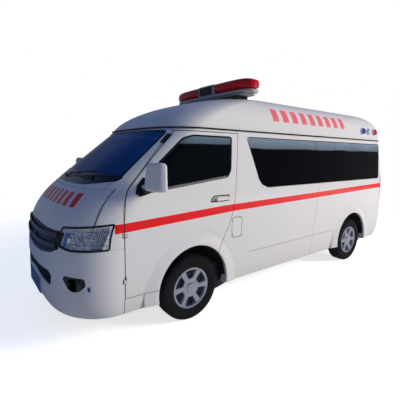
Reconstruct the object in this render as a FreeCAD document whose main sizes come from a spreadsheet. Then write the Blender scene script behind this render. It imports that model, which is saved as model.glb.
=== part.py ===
import FreeCAD, Part
import math
import os
import Sketcher

# High-roof ambulance van, in millimetres.
# +Z is up, the nose points to -X and the van's left side is at -Y.
# The origin is on the ground, below the middle of the overall length and width.

V = FreeCAD.Vector
ALONG = V(1, 0, 0)
ACROSS = V(0, 1, 0)
UP = V(0, 0, 1)

# Driving sizes
SIZES = {
    # overall
    "wheelbase": 3110,
    "front_overhang": 1250,
    "rear_overhang": 1120,
    "body_half_width": 908,
    "gutter_height": 1915,
    "roof_rise": 440,
    "roof_front_run": 1520,
    "roof_rear_run": 900,
    "roof_front_rounding": 100,
    "tail_corner": 180,
    # walls, gaps and reaches
    "body_wall": 60,
    "roof_wall": 40,
    "bonnet_wall": 22,
    "door_gap": 8,
    "seam": 0.3,
    "lining_gap": 1,
    "running_fit": 0.3,
    "glass_thickness": 5,
    "glass_depth": 4,
    "glass_recess": 12,
    "overrun": 300,
    "side_reach": 620,
    "front_reach": 1230,
    "rear_reach": 330,
    # wheel arches
    "arch_radius": 420,
    "arch_back": 25,
    "arch_rise": 22,
    "arch_depth": 330,
    "flare_radius": 560,
    "flare_proud": 14,
    "flare_lip": 26,
    "flare_bottom": 290,
    "flare_sink": 4,
    # front
    "seam_back": 710,
    "bumper_top": 880,
    "wing_top": 1402,
    "cowl_bottom": 1280,
    "glass_corner": 55,
    "lamp_corner": 18,
    "lamp_reach": 420,
    "fog_radius": 58,
    "fog_height": 590,
    "fog_spacing": 1490,
    "bonnet_back": 735,
    "bonnet_pin_height": 1390,
    "bonnet_hinge_spacing": 1400,
    "bonnet_hinge_thickness": 8,
    "bonnet_lug_length": 140,
    "bonnet_pin_radius": 6,
    "bonnet_ear_reach": 14,
    "bonnet_ear_foot": 30,
    "bonnet_slot_top": 1412,
    "bonnet_slot_bottom": 1290,
    # doors
    "door_length": 1326,
    "door_pin_back": 9,
    "door_pin_in": 3,
    "door_pin_height": 800,
    "door_pin_lean_share": 0.03,
    "lower_hinge_height": 600,
    "upper_hinge_height": 1000,
    "hinge_length": 60,
    "hinge_radius": 8,
    "hinge_pin_radius": 4,
    "hinge_clearance": 6,
    "hinge_arm": 10,
    "post_front": 800,
    "post_depth": 84,
    "post_width": 60,
    "window_corner": 35,
    "handle_length": 230,
    "handle_height": 34,
    "handle_proud": 26,
    "handle_grip": 12,
    "handle_back": 990,
    "handle_level": 1200,
    "mirror_back": 205,
    "mirror_level": 1475,
    "mirror_thickness": 120,
    "mirror_width": 190,
    "mirror_height": 238,
    "mirror_outreach": 150,
    "mirror_corner": 34,
    "mirror_foot_height": 90,
    "mirror_foot_length": 130,
    # side panels
    "band_corner": 45,
    "pillar_width": 60,
    "glass_gap": 8,
    "flap_front": 520,
    "flap_length": 140,
    "flap_bottom": 780,
    "flap_height": 210,
    "flap_corner": 24,
    "flap_thickness": 8,
    "flap_pin_in": 3,
    "flap_pin_radius": 2.5,
    "flap_boss_radius": 5.5,
    "flap_boss_height": 10,
    "flap_pocket": 42,
    "slide_front": 640,
    "slide_length": 1250,
    "slide_bottom": 330,
    "slide_top": 1885,
    "slide_corner": 60,
    # rear
    "tailgate_corner": 45,
    "rear_bumper_top": 722,
    "rear_bumper_front": 4000,
    "tail_lamp_bottom": 930,
    "tail_lamp_height": 420,
    "tail_lamp_inner": 822,
    "tail_lamp_depth": 40,
    "tail_lamp_length": 190,
    "tailgate_hinge_spacing": 900,
    "tailgate_pin_in": 114,
    "tailgate_pin_height": 1878,
    "tailgate_arm_rise": 24,
    # inside
    "floor_top": 620,
    "floor_thickness": 35,
    "floor_front": 660,
    "toe_board_height": 1330,
    "toe_board_thickness": 20,
    "house_wall": 6,
    "house_clearance": 12,
    "front_house_depth": 345,
    "rear_house_depth": 250,
    "seat_width": 500,
    "seat_depth": 480,
    "seat_spacing": 880,
    "seat_front": 60,
    "seat_box_height": 300,
    "seat_cushion": 120,
    "seat_back_height": 600,
    "seat_back_thickness": 120,
    "seat_back_lean": 70,
    "headrest_height": 170,
    "headrest_width": 260,
    "headrest_gap": 30,
    "seat_round": 30,
    "dash_depth": 300,
    "dash_bottom": 980,
    "dash_height": 300,
    "dash_half_width": 770,
    "dash_round": 60,
    "steering_radius": 190,
    "steering_grip": 15,
    "steering_x": -250,
    "steering_z": 1230,
    "steering_tilt": 32,
    "steering_boss": 55,
    "column_radius": 26,
    "column_length": 130,
    "stretcher_front": 1500,
    "stretcher_length": 1950,
    "stretcher_width": 540,
    "stretcher_frame": 45,
    "stretcher_height": 380,
    "stretcher_leg": 30,
    "mattress_thickness": 80,
    "mattress_inset": 10,
    "bench_front": 1250,
    "bench_length": 1300,
    "bench_depth": 420,
    "bench_height": 430,
    "bench_side_gap": 20,
    # below
    "rail_width": 70,
    "rail_height": 110,
    "rail_spacing": 860,
    "rail_end": 1160,
    "rail_tail": 1040,
    "cross_height": 40,
    "cross_middle": 1300,
    "cross_rear": 2300,
    "cross_tail": 3900,
    "engine_front": 190,
    "engine_length": 640,
    "engine_width": 560,
    "engine_bottom": 330,
    "engine_height": 500,
    "radiator_front": 1080,
    "radiator_depth": 60,
    "radiator_width": 640,
    "radiator_height": 450,
    "radiator_bottom": 500,
    "tank_front": 760,
    "tank_length": 900,
    "tank_width": 300,
    "tank_height": 250,
    "exhaust_radius": 28,
    "exhaust_level": 430,
    "exhaust_side": 250,
    "muffler_radius": 95,
    "muffler_front": 1500,
    "muffler_length": 620,
    "hanger_thickness": 12,
    # wheels and what carries them
    "tyre_radius": 334,
    "tyre_width": 195,
    "bead_radius": 190,
    "rim_width": 162,
    "flange_rise": 7.5,
    "rim_wall": 10,
    "wheel_track": 1600,
    "cover_radius": 212,
    "cover_wall": 8,
    "cover_edge": 92,
    "cap_radius": 48,
    "cap_level": 84,
    "hub_radius": 75,
    "hub_wall": 14,
    "hub_level": 18,
    "hub_bore": 30,
    "window_inner": 92,
    "window_outer": 172,
    "window_inner_width": 36,
    "window_outer_width": 84,
    "wheel_windows": 6,
    "kingpin_offset": 145,
    "kingpin_radius": 12,
    "kingpin_length": 36,
    "upright_depth": 64,
    "upright_thickness": 40,
    "upright_bottom": 225,
    "upright_top": 520,
    "disc_radius": 150,
    "disc_thickness": 8,
    "arm_thickness": 30,
    "arm_reach": 300,
    "arm_eye": 32,
    "strut_radius": 30,
    "axle_tube_radius": 42,
    "drum_radius": 135,
    "drum_width": 60,
    "differential_radius": 130,
    "spring_length": 1200,
    "spring_width": 60,
    "spring_thickness": 28,
    "spring_spacing": 1060,
    "spring_eye_level": 480,
    "hanger_width": 50,
    # roof equipment
    "bar_back": 950,
    "bar_width": 1500,
    "bar_depth": 290,
    "bar_base": 2365,
    "bar_base_height": 40,
    "bar_lens_height": 145,
    "bar_middle": 430,
    "bar_round": 30,
    "bar_foot_spacing": 1000,
    "bar_foot_width": 60,
    "roof_lamp_front": 3400,
    "roof_lamp_pitch": 200,
    "roof_lamp_level": 2060,
    "roof_lamp_radius": 45,
    "roof_lamp_proud": 30,
    "gutter_proud": 12,
    "gutter_thickness": 14,
}

doc = FreeCAD.newDocument("Ambulance")
sheet = doc.addObject("Spreadsheet::Sheet", "Sizes")
for row, (name, value) in enumerate(SIZES.items(), 1):
    sheet.set(f"A{row}", name)
    sheet.set(f"B{row}", str(value))
    sheet.setAlias(f"B{row}", name)
doc.recompute()


class Sheet:
    """Reads a size from the sheet by its name."""

    def __getattr__(self, name):
        return float(sheet.get(name))


S = Sheet()
PARTS = {}

# Places of the axles and ends
LENGTH = S.front_overhang + S.wheelbase + S.rear_overhang
NOSE = -LENGTH / 2
TAIL = LENGTH / 2
FRONT_AXLE = NOSE + S.front_overhang
REAR_AXLE = FRONT_AXLE + S.wheelbase
LEFT = -1
RIGHT = 1


def keep(label, thing):
    """Registers a finished sub-part under the name of its file."""
    thing.Label = label
    PARTS[label] = thing
    return thing


def feature(label, shape):
    """A sub-part whose form comes from surfaces worked out below."""
    thing = doc.addObject("Part::Feature", label)
    thing.Shape = shape
    thing.Placement = FreeCAD.Placement()
    return keep(label, thing)


def less(shape, tools):
    """The shape with each tool cut away in turn."""
    for tool in tools:
        shape = shape.cut(tool)
    return shape


def flipped(shape):
    """The same form on the van's other side."""
    return shape.mirror(V(0, 0, 0), ACROSS)


def both(shape):
    """A form and its twin on the other side, as one compound."""
    return Part.makeCompound([shape, flipped(shape)])


def brick(low, high):
    """A box between two corners."""
    size = high - low
    return Part.makeBox(size.x, size.y, size.z, low)


def fx(back):
    """The x of a place measured backwards from the front axle."""
    return FRONT_AXLE + back


# Outlines

CURVE_POINTS = 17


def run(points):
    """A straight edge through two points, or one smooth curve through more."""
    if len(points) == 2:
        return Part.makeLine(points[0], points[1])
    curve = Part.BSplineCurve()
    curve.interpolate(points)
    return curve.toShape()


def rounded(points, radius):
    """A closed outline of straight edges whose corners are arcs."""
    edges = []
    ends = []
    count = len(points)
    for i in range(count):
        here = points[i]
        back = (points[i - 1] - here)
        ahead = (points[(i + 1) % count] - here)
        room = min(back.Length, ahead.Length) * 0.45
        back.normalize()
        ahead.normalize()
        half = math.acos(max(-1, min(1, back.dot(ahead)))) / 2
        reach = min(radius / math.tan(half), room)
        true_radius = reach * math.tan(half)
        middle = back + ahead
        middle.normalize()
        top = here + middle * (true_radius / math.sin(half) - true_radius)
        ends.append((here + back * reach, top, here + ahead * reach))
    for i in range(count):
        start, top, end = ends[i]
        edges.append(Part.Arc(start, top, end).toShape())
        edges.append(Part.makeLine(end, ends[(i + 1) % count][0]))
    return Part.Wire(edges)


def grown(wire, grow):
    """An outline moved outwards, its curved edges drawn again through points."""
    moved = wire.makeOffset2D(grow, 0, False, False, True)
    edges = []
    for edge in moved.OrderedEdges:
        if edge.Curve.TypeId in ("Part::GeomLine", "Part::GeomCircle"):
            edges.append(edge)
        else:
            edges.append(run(edge.discretize(CURVE_POINTS)))
    return Part.Wire(edges)


def prism(wire, direction, length, grow=0):
    """An outline, grown if asked, carried along a direction."""
    if grow:
        wire = grown(wire, grow)
    return Part.Face(wire).extrude(direction * length)


def side_prism(wire, grow=0):
    """An outline seen from the side, cut through the left wall."""
    return prism(wire, ACROSS, S.overrun + S.side_reach, grow)


def front_prism(wire, grow=0):
    """An outline seen from the front, cut through the nose."""
    return prism(wire, ALONG, S.overrun + S.front_reach, grow)


def rear_prism(wire, grow=0):
    """An outline seen from behind, cut through the tail."""
    return prism(wire, -ALONG, S.overrun + S.rear_reach, grow)


def at_side(x, z):
    return V(x, -S.body_half_width - S.overrun, z)


def at_front(y, z):
    return V(NOSE - S.overrun, y, z)


def at_rear(y, z):
    return V(TAIL + S.overrun, y, z)


# Body surface

# Each level line of the body, as shares: height of the gutter height, nose and nose rounding
# of the front overhang, half width of the widest, tail of the rear overhang
BODY_SHARES = [
    (0.1462, 0.0400, 0.9637, 0.368, 0.0893),
    (0.1775, 0.0160, 0.9802, 0.376, 0.0536),
    (0.2611, 0.0000, 0.9956, 0.384, 0.0134),
    (0.3655, 0.0000, 1.0000, 0.384, 0.0000),
    (0.4439, 0.0104, 1.0000, 0.386, 0.0000),
    (0.5222, 0.0360, 0.9983, 0.392, 0.0000),
    (0.5744, 0.0680, 0.9967, 0.400, 0.0000),
    (0.6266, 0.1200, 0.9923, 0.400, 0.0010),
    (0.6789, 0.1920, 0.9857, 0.400, 0.0045),
    (0.7206, 0.2640, 0.9790, 0.400, 0.0134),
    (0.7833, 0.3800, 0.9697, 0.388, 0.0286),
    (0.8877, 0.5800, 0.9526, 0.352, 0.0580),
    (1.0000, 0.8000, 0.9306, 0.304, 0.0982),
]
NOSE_POWER = 3.2
TAIL_POWER = 3.5
END_POWER = 2.0
END_POINTS = 15


def end_curve(tip, depth, half, height, sign, power):
    """A rounded end in plan: x = depth * (1 - (y / half) ** power) ** (1 / END_POWER)."""
    points = []
    for i in range(END_POINTS):
        turn = (2 * i / (END_POINTS - 1) - 1) * math.pi / 2
        share = math.sin(turn)
        bulge = max(0.0, 1 - abs(share) ** power) ** (1 / END_POWER)
        points.append(V(tip + sign * depth * (bulge - 1), share * half, height))
    slope = V(sign * depth * math.sqrt(power / 2) * math.pi / (END_POINTS - 1), 0, 0)
    curve = Part.BSplineCurve()
    curve.interpolate(
        Points=points,
        Parameters=[float(i) for i in range(END_POINTS)],
        InitialTangent=slope,
        FinalTangent=-slope,
        Scale=False,
    )
    return curve, points[0], points[-1]


def straight(start, end):
    """A straight curve with a pole at each end."""
    curve = Part.BSplineCurve()
    curve.buildFromPolesMultsKnots([start, end], [2, 2], [0, 1], False, 1)
    return curve


def level_curves(height, front, rear, half, front_depth, rear_depth, inward):
    """One level of the body as four curves, moved inward by the same amount all round."""
    half = half - inward
    nose, nose_left, nose_right = end_curve(
        front + inward, front_depth - inward, half, height, -1, NOSE_POWER)
    tail, tail_left, tail_right = end_curve(
        rear - inward, rear_depth - inward, half, height, 1, TAIL_POWER)
    return [nose, straight(nose_right, tail_right), tail, straight(tail_left, nose_left)]


def outline(curves):
    return Part.Wire([curve.toShape() for curve in curves])


def body_levels(inward):
    levels = []
    for height, nose, half, rounding, tail in BODY_SHARES:
        levels.append(level_curves(
            height * S.gutter_height,
            NOSE + nose * S.front_overhang,
            TAIL - tail * S.rear_overhang,
            half * S.body_half_width,
            rounding * S.front_overhang,
            S.tail_corner,
            inward,
        ))
    return levels


BODY_PLACES = [row[0] for row in BODY_SHARES]


def blended(curves, places):
    """One smooth face through like curves that lie one above the other."""
    base = curves[0]
    columns = []
    for i in range(base.NbPoles):
        column = Part.BSplineCurve()
        column.interpolate(Points=[curve.getPole(i + 1) for curve in curves], Parameters=places)
        columns.append(column)
    surface = Part.BSplineSurface()
    surface.buildFromPolesMultsKnots(
        [column.getPoles() for column in columns],
        base.getMultiplicities(),
        columns[0].getMultiplicities(),
        base.getKnots(),
        columns[0].getKnots(),
        False,
        False,
        base.Degree,
        columns[0].Degree,
    )
    return surface.toShape()


def walls(levels, places):
    """The faces round a form whose levels are each four curves."""
    return [blended(curves, places) for curves in zip(*levels)]


def closed_form(faces):
    shell = Part.makeShell(faces)
    shell.sewShape()
    solid = Part.makeSolid(shell)
    if solid.Volume < 0:
        solid.reverse()
    return solid


def capped(levels, places):
    """A closed form through levels, with a flat face at each end."""
    ends = [Part.Face(outline(levels[0])), Part.Face(outline(levels[-1]))]
    return closed_form(walls(levels, places) + ends)


def body_core(inward):
    """Everything inside the body's surface, moved inward."""
    return capped(body_levels(inward), BODY_PLACES)


def body_layer(outer, inner):
    """The body's skin between two depths below its surface, as one closed ring."""
    outside = body_levels(outer)
    within = body_levels(inner)
    faces = walls(outside, BODY_PLACES) + walls(within, BODY_PLACES)
    for end in (0, -1):
        faces.append(Part.makeFace([outline(outside[end]), outline(within[end])], "Part::FaceMakerBullseye"))
    return closed_form(faces)


def lean(share, grip, power):
    """How far a roof level has drawn in at a share of its rise."""
    return 1 - (1 - share ** grip) ** (1 / power)


ROOF_LEVELS = 12
ROOF_TOP_TURN = 0.945
FRONT_LEAN = (1.40, 2.1)
REAR_LEAN = (2.5, 3.0)
SIDE_LEAN = (2.5, 5.0)


def roof_core(inward):
    """The raised roof's inside down to the gutter, moved inward."""
    top = BODY_SHARES[-1]
    levels = []
    for i in range(ROOF_LEVELS):
        share = math.sin(i / (ROOF_LEVELS - 1) * ROOF_TOP_TURN * math.pi / 2)
        levels.append(level_curves(
            S.gutter_height + share * (S.roof_rise - inward),
            NOSE + top[1] * S.front_overhang + lean(share, *FRONT_LEAN) * (S.roof_front_run - inward),
            TAIL - top[4] * S.rear_overhang - lean(share, *REAR_LEAN) * (S.roof_rear_run - inward),
            top[2] * S.body_half_width * (1 - lean(share, *SIDE_LEAN)),
            top[3] * S.front_overhang + S.roof_front_rounding * share,
            S.tail_corner,
            inward,
        ))
    return capped(levels, [float(i) for i in range(ROOF_LEVELS)])


# Door, window and panel outlines

# Door: shares of its length behind its front edge, and of the gutter height
DOOR_FRONT_SHARES = [(0, 0.566), (0.0234, 0.6726), (0.0498, 0.7097), (0.1214, 0.764),
                     (0.2526, 0.8616), (0.414, 0.9687), (0.4374, 0.9843)]
DOOR_REAR_SHARES = [(0.9646, 0.705), (0.9442, 0.5964), (0.911, 0.519), (0.859, 0.4449),
                    (0.7828, 0.3551), (0.66, 0.25)]
DOOR_SILL_SHARE = 0.2245
DOOR_TOP_SHARE = 0.9843
WINDOW_SHARES = [(0.0988, 0.714), (0.2813, 0.8386), (0.4729, 0.952), (0.5528, 0.968),
                 (0.935, 0.968), (0.918, 0.783), (0.8808, 0.7457), (0.2014, 0.6935)]


def door_place(share):
    back, height = share
    return at_side(fx(back * S.door_length - S.seam_back), height * S.gutter_height)


def door_wire():
    front = [door_place(share) for share in DOOR_FRONT_SHARES]
    rear = [door_place(share) for share in DOOR_REAR_SHARES]
    top = door_place((1, DOOR_TOP_SHARE))
    sill = door_place((0, DOOR_SILL_SHARE))
    sides = [[sill, front[0]], front, [front[-1], top], [top, rear[0]], rear]
    sides.append([rear[-1], door_place((DOOR_REAR_SHARES[-1][0], DOOR_SILL_SHARE))])
    sides.append([sides[-1][-1], sill])
    return Part.Wire([run(points) for points in sides])


def window_wire():
    return rounded([door_place(share) for share in WINDOW_SHARES], S.window_corner)


# Side glass band: places behind the front axle as shares of the wheelbase, heights of the gutter
BAND_SHARES = [(0.2395, 0.9723), (0.3016, 0.7248), (0.3170, 0.6935), (0.3511, 0.6726),
               (1.2781, 0.6726), (1.2772, 0.9734)]
BAND_SPLIT_SHARES = (0.6688, 0.8212)


def band_place(share):
    back, height = share
    return at_side(fx(back * S.wheelbase), height * S.gutter_height)


def band_wire():
    return rounded([band_place(share) for share in BAND_SHARES], S.band_corner)


# Front view, as shares of the body's half width and of the gutter height, left half
GRILLE_SHARES = [(0, 0.402), (0.30, 0.412), (0.55, 0.432), (0.660, 0.455), (0.675, 0.527), (0, 0.531)]
LAMP_SHARES = [(0.682, 0.5275), (0.982, 0.5615), (0.974, 0.4575), (0.82, 0.440), (0.667, 0.4386)]
SCREEN_SHARES = [(0, 0.7235), (0.50, 0.727), (0.818, 0.745), (0.772, 0.9895), (0.40, 0.9925), (0, 0.9930)]
INTAKE_SHARES = [(0, 0.262), (0.53, 0.272), (0.56, 0.325), (0.50, 0.345), (0, 0.335)]
# Plan view of the bonnet's edge: back of the nose as shares of the front overhang, half widths
BONNET_SHARES = [(0, 0.232), (0.30, 0.243), (0.60, 0.281), (0.80, 0.366), (0.853, 0.412)]
BONNET_SIDE_SHARES = [(0.853, 0.412), (0.872, 0.330), (0.895, 0.270), (0.907, 0.200)]
BONNET_FOOT_SHARES = [(0, 0.5325), (0.675, 0.5285), (0.990, 0.5635)]


def mirrored(points):
    """An outline's left half and its mirror image, as one closed run of points."""
    twin = [V(p.x, -p.y, p.z) for p in reversed(points) if abs(p.y) > S.seam]
    return points + twin


def front_points(shares):
    return [at_front(-side * S.body_half_width, height * S.gutter_height) for side, height in shares]


def grille_wire():
    return rounded(mirrored(front_points(GRILLE_SHARES)), S.lamp_corner)


def lamp_wire():
    return rounded(front_points(LAMP_SHARES), S.lamp_corner)


def screen_wire():
    return rounded(mirrored(front_points(SCREEN_SHARES)), S.glass_corner)


def intake_wire():
    return rounded(mirrored(front_points(INTAKE_SHARES)), S.lamp_corner)


def bonnet_prism(grow):
    """The space over the bonnet: its plan outline upwards, above the lamps and grille."""
    def plan(share):
        side, back = share
        return V(NOSE + back * S.front_overhang, -side * S.body_half_width, 0)

    rear = [plan(share) for share in BONNET_SHARES]
    side = [plan(share) for share in BONNET_SIDE_SHARES]
    ahead = V(NOSE - S.overrun, side[-1].y, 0)
    left = [run(rear), run(side), Part.makeLine(side[-1], ahead)]
    right = [edge.mirror(V(0, 0, 0), ACROSS) for edge in left]
    front = Part.makeLine(ahead, V(ahead.x, -ahead.y, 0))
    wire = Part.Wire(Part.__sortEdges__(left + right + [front]))
    above = prism(wire, UP, S.gutter_height, grow)
    low = [p - UP * grow for p in front_points(BONNET_FOOT_SHARES)]
    top = S.gutter_height + S.overrun
    foot = [V(p.x, -p.y, p.z) for p in reversed(low[1:])] + low
    high = [V(low[-1].x, low[-1].y, top), V(low[-1].x, -low[-1].y, top)]
    corners = foot + high
    over = Part.Face(Part.makePolygon(corners + [corners[0]])).extrude(ALONG * S.front_reach)
    return above.common(over)


# Shared solids
skin = body_layer(0, S.body_wall)
inside = body_core(S.body_wall + S.lining_gap)
clear_inside = body_core(S.body_wall + 2 * S.door_gap)
half_space = brick(V(NOSE - S.overrun, -S.body_half_width - S.overrun, 0),
                   V(TAIL + S.overrun, 0, S.gutter_height + S.overrun))


def arch_cutter(axle):
    low = V(axle + S.arch_back, -S.body_half_width - S.overrun, S.tyre_radius + S.arch_rise)
    return Part.makeCylinder(S.arch_radius, S.overrun + S.arch_depth, low, ACROSS)


def arch_flare(axle):
    """The raised lip round a wheel arch, turned about the arch's centre."""
    middle = V(axle + S.arch_back, 0, S.tyre_radius + S.arch_rise)
    root = -S.body_half_width + S.body_wall
    lip = -S.body_half_width - S.flare_proud
    edge = -S.body_half_width + S.flare_sink
    section = [(S.arch_radius, root), (S.arch_radius, lip), (S.arch_radius + S.flare_lip, lip),
               (S.flare_radius, edge), (S.flare_radius, root)]
    points = [V(middle.x + radius, y, middle.z) for radius, y in section]
    ring = Part.Face(Part.makePolygon(points + [points[0]])).revolve(middle, ACROSS, 360)
    low = V(middle.x - S.flare_radius - S.seam, lip - S.seam, S.flare_bottom)
    high = V(middle.x + S.flare_radius + S.seam, root + S.seam, middle.z + S.flare_radius + S.seam)
    return ring.common(brick(low, high))


left_skin = skin.common(half_space)
left_skin = left_skin.fuse([arch_flare(FRONT_AXLE), arch_flare(REAR_AXLE)])
left_skin = left_skin.cut([arch_cutter(FRONT_AXLE), arch_cutter(REAR_AXLE)])


def hinge_axis(height):
    """A point on the left door's hinge line, which leans inwards with the body side."""
    lean_in = (height - S.door_pin_height) * S.door_pin_lean_share
    y = -S.body_half_width + S.door_pin_in + lean_in
    return V(fx(S.door_pin_back - S.seam_back), y, height)


HINGE_LINE = V(0, S.door_pin_lean_share, 1)
HINGE_LINE.normalize()


# Front doors

door_space = side_prism(door_wire())
door_hole = side_prism(door_wire(), S.door_gap)
window_space = side_prism(window_wire())


def hinge_barrel(height, start, end, radius):
    """A turned piece on the hinge line between two distances from its middle."""
    base = hinge_axis(height) + HINGE_LINE * start
    return Part.makeCylinder(radius, end - start, base, HINGE_LINE)


def door_panel():
    """The left door: wall, window frame, pull handle and the upper halves of its hinges."""
    panel = left_skin.common(door_space).cut(window_space)
    half = S.hinge_length / 2
    for height in (S.lower_hinge_height, S.upper_hinge_height):
        reach = S.hinge_radius + S.hinge_clearance
        panel = panel.cut(hinge_barrel(height, -half - S.hinge_clearance, 0, reach))
        barrel = hinge_barrel(height, S.running_fit, half, S.hinge_radius)
        pin = hinge_barrel(height, -half, half, S.hinge_pin_radius)
        panel = panel.fuse([barrel, pin])
    low = V(fx(S.handle_back - S.seam_back), -S.body_half_width - S.handle_proud, S.handle_level)
    grip = brick(low, low + V(S.handle_length, S.handle_grip, S.handle_height))
    foot_size = V(S.handle_height, S.handle_proud + S.body_wall / 2, S.handle_height)
    feet = [brick(low, low + foot_size),
            brick(low + ALONG * (S.handle_length - S.handle_height),
                  low + ALONG * (S.handle_length - S.handle_height) + foot_size)]
    return panel.fuse([grip] + feet).removeSplitter()


door_left = door_panel()
feature("door_left", door_left)
feature("door_right", flipped(door_left))

glass_layer = body_layer(S.glass_depth, S.glass_depth + S.glass_thickness)
left_glass = glass_layer.common(half_space)
door_glass = left_glass.common(side_prism(window_wire(), -S.seam))
feature("door_glass_left", door_glass)
feature("door_glass_right", flipped(door_glass))


def soft_brick(low, high, radius):
    """A box whose edges are all rounded."""
    block = brick(low, high)
    return block.makeFillet(radius, block.Edges)


def mirror_form():
    """A door mirror: a rounded housing out from a foot on the door's front corner."""
    middle = V(fx(S.mirror_back - S.seam_back), -S.body_half_width - S.mirror_outreach, S.mirror_level)
    half = V(S.mirror_thickness, S.mirror_width, S.mirror_height) * 0.5
    housing = soft_brick(middle - half, middle + half, S.mirror_corner)
    foot_low = V(middle.x - S.mirror_foot_length / 2, middle.y, middle.z - half.z)
    foot_high = V(middle.x + S.mirror_foot_length / 2, -S.body_half_width + S.body_wall,
                  middle.z - half.z + S.mirror_foot_height)
    foot = brick(foot_low, foot_high).cut(body_core(0)).cut(housing)
    solids = sorted(foot.Solids, key=lambda solid: -solid.Volume)
    return housing.fuse(solids[0])


mirror = mirror_form()
feature("mirror_left", mirror)
feature("mirror_right", flipped(mirror))

# Front of the body

lamp_back = brick(V(NOSE - S.overrun, -S.body_half_width - S.overrun, 0),
                  V(NOSE + S.lamp_reach, 0, S.gutter_height))
lamp_space = front_prism(lamp_wire()).common(lamp_back)
lamp_hole = front_prism(lamp_wire(), S.seam).common(lamp_back.translated(ALONG * S.seam))
grille_hole = front_prism(grille_wire(), S.seam)
screen_hole = front_prism(screen_wire())
bonnet_hole = bonnet_prism(S.door_gap)
far = S.body_half_width + S.overrun
ahead_of_doors = brick(V(NOSE - S.overrun, -far, 0), V(fx(-S.seam_back) - S.door_gap, 0, S.bumper_top))

fog_middle = V(NOSE - S.overrun, -S.fog_spacing / 2, S.fog_height)
fog_pocket = Part.makeCylinder(S.fog_radius, S.overrun + S.front_overhang / 5, fog_middle, ALONG)
front_skin = less(left_skin, [lamp_hole, grille_hole])
half_bumper = less(front_skin.common(ahead_of_doors), [front_prism(intake_wire()), fog_pocket])


def hinge_slot(height):
    """The slot that lets a hinge arm out past the panel ahead of the door."""
    axis = hinge_axis(height)
    back = axis.x + S.hinge_radius
    low = V(axis.x - 3 * S.hinge_radius - S.hinge_arm, -far, height - S.hinge_length / 2 - S.hinge_clearance)
    return brick(low, V(back, 0, height + S.hinge_clearance))


half_bumper = half_bumper.cut(hinge_slot(S.lower_hinge_height))
feature("front_bumper", half_bumper.fuse(flipped(half_bumper)).removeSplitter())

grille_body = body_layer(S.glass_depth, S.body_wall / 2).common(front_prism(grille_wire()))
feature("grille", grille_body.common(brick(V(NOSE - S.overrun, -far, 0), V(fx(-S.seam_back), far, far * 2))))

lamp = left_skin.common(lamp_space)
lamp = sorted(lamp.Solids, key=lambda solid: -solid.Volume)[0]
fog = Part.makeCylinder(S.fog_radius - S.seam, S.body_wall / 3, fog_middle + ALONG *
                        (S.overrun + S.front_overhang * 0.16), ALONG)
feature("headlamps", Part.makeCompound([lamp, fog, flipped(lamp), flipped(fog)]))

# Bonnet hinge lug, as shares of its length from the pin: back and up
LUG_SHARES = [(0.06, 0.05), (0.06, -0.09), (-0.64, -0.64), (-1.0, -0.79), (-1.0, -0.29), (-0.36, 0.015)]
bonnet_pin = V(fx(-S.bonnet_back), -S.bonnet_hinge_spacing / 2, S.bonnet_pin_height)
slot_front = bonnet_pin.x - S.bonnet_lug_length * 0.7
slot_low = V(slot_front, bonnet_pin.y - S.bonnet_hinge_thickness - S.hinge_clearance, S.bonnet_slot_bottom)
slot_high = V(bonnet_pin.x + S.bonnet_ear_reach, bonnet_pin.y + S.hinge_clearance, S.bonnet_slot_top)
ear_y = bonnet_pin.y - S.bonnet_hinge_thickness - S.hinge_clearance
ear_low = V(bonnet_pin.x - S.bonnet_ear_reach, ear_y - S.bonnet_hinge_thickness,
            S.toe_board_height - S.bonnet_ear_foot)
ear_high = V(fx(-S.floor_front), ear_y, S.bonnet_pin_height + S.bonnet_ear_reach)
ear_room = brick(ear_low - V(1, 1, 1) * S.hinge_clearance,
                 ear_high + V(1, 1, 0) * S.hinge_clearance + UP * S.running_fit)
bonnet_slots = [brick(slot_low, slot_high), ear_room.common(body_core(S.hinge_clearance))]
cowl_low = V(NOSE, -BONNET_SHARES[-1][0] * S.body_half_width, S.cowl_bottom)
cowl_space = brick(cowl_low, V(fx(-S.seam_back / 2), 0, S.wing_top))
wing_space = brick(V(NOSE - S.overrun, -far, S.bumper_top + S.seam), V(fx(0), 0, S.wing_top - S.seam))
wing_cuts = [bonnet_hole, door_hole, cowl_space, hinge_slot(S.upper_hinge_height), bonnet_slots[0]]
wing = less(front_skin.common(wing_space), wing_cuts)
wing = sorted(wing.Solids, key=lambda solid: -solid.Volume)[0]
feature("front_wings", both(wing))

frame_space = brick(V(NOSE, -far, S.wing_top), V(FRONT_AXLE + S.arch_radius / 2, 0, S.gutter_height))
half_frame = left_skin.common(frame_space.fuse(cowl_space))
half_frame = less(half_frame, [screen_hole, bonnet_hole, door_hole] + bonnet_slots)
feature("windscreen_frame", half_frame.fuse(flipped(half_frame)).removeSplitter())
screen_glass = glass_layer.common(front_prism(screen_wire(), -S.seam))
feature("windscreen", screen_glass)

bonnet_skin = body_layer(0, S.bonnet_wall)
lug_corners = [bonnet_pin + V(back, 0, rise) * S.bonnet_lug_length for back, rise in LUG_SHARES]
lug_face = Part.Face(Part.makePolygon(lug_corners + [lug_corners[0]]))
lug = lug_face.extrude(-ACROSS * S.bonnet_hinge_thickness).common(body_core(S.bonnet_wall / 2))
pin_span = 2 * S.bonnet_hinge_thickness + S.hinge_clearance + S.running_fit
lug = lug.fuse(Part.makeCylinder(S.bonnet_pin_radius, pin_span, bonnet_pin, -ACROSS))
bonnet = bonnet_skin.common(bonnet_prism(0)).fuse([lug, flipped(lug)])
feature("bonnet", bonnet)

sill_space = brick(V(fx(-S.seam_back) - S.door_gap + S.seam, -far, 0),
                   V(FRONT_AXLE, 0, DOOR_SILL_SHARE * S.gutter_height))
sill = left_skin.common(sill_space).cut(door_hole)
feature("cab_sills", both(sill))

# Sides and tail

band_space = side_prism(band_wire())
TAILGATE_SHARES = [(0.86, 0.3838), (0.885, 0.52), (0.875, 0.70), (0.80, 0.9854)]


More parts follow.
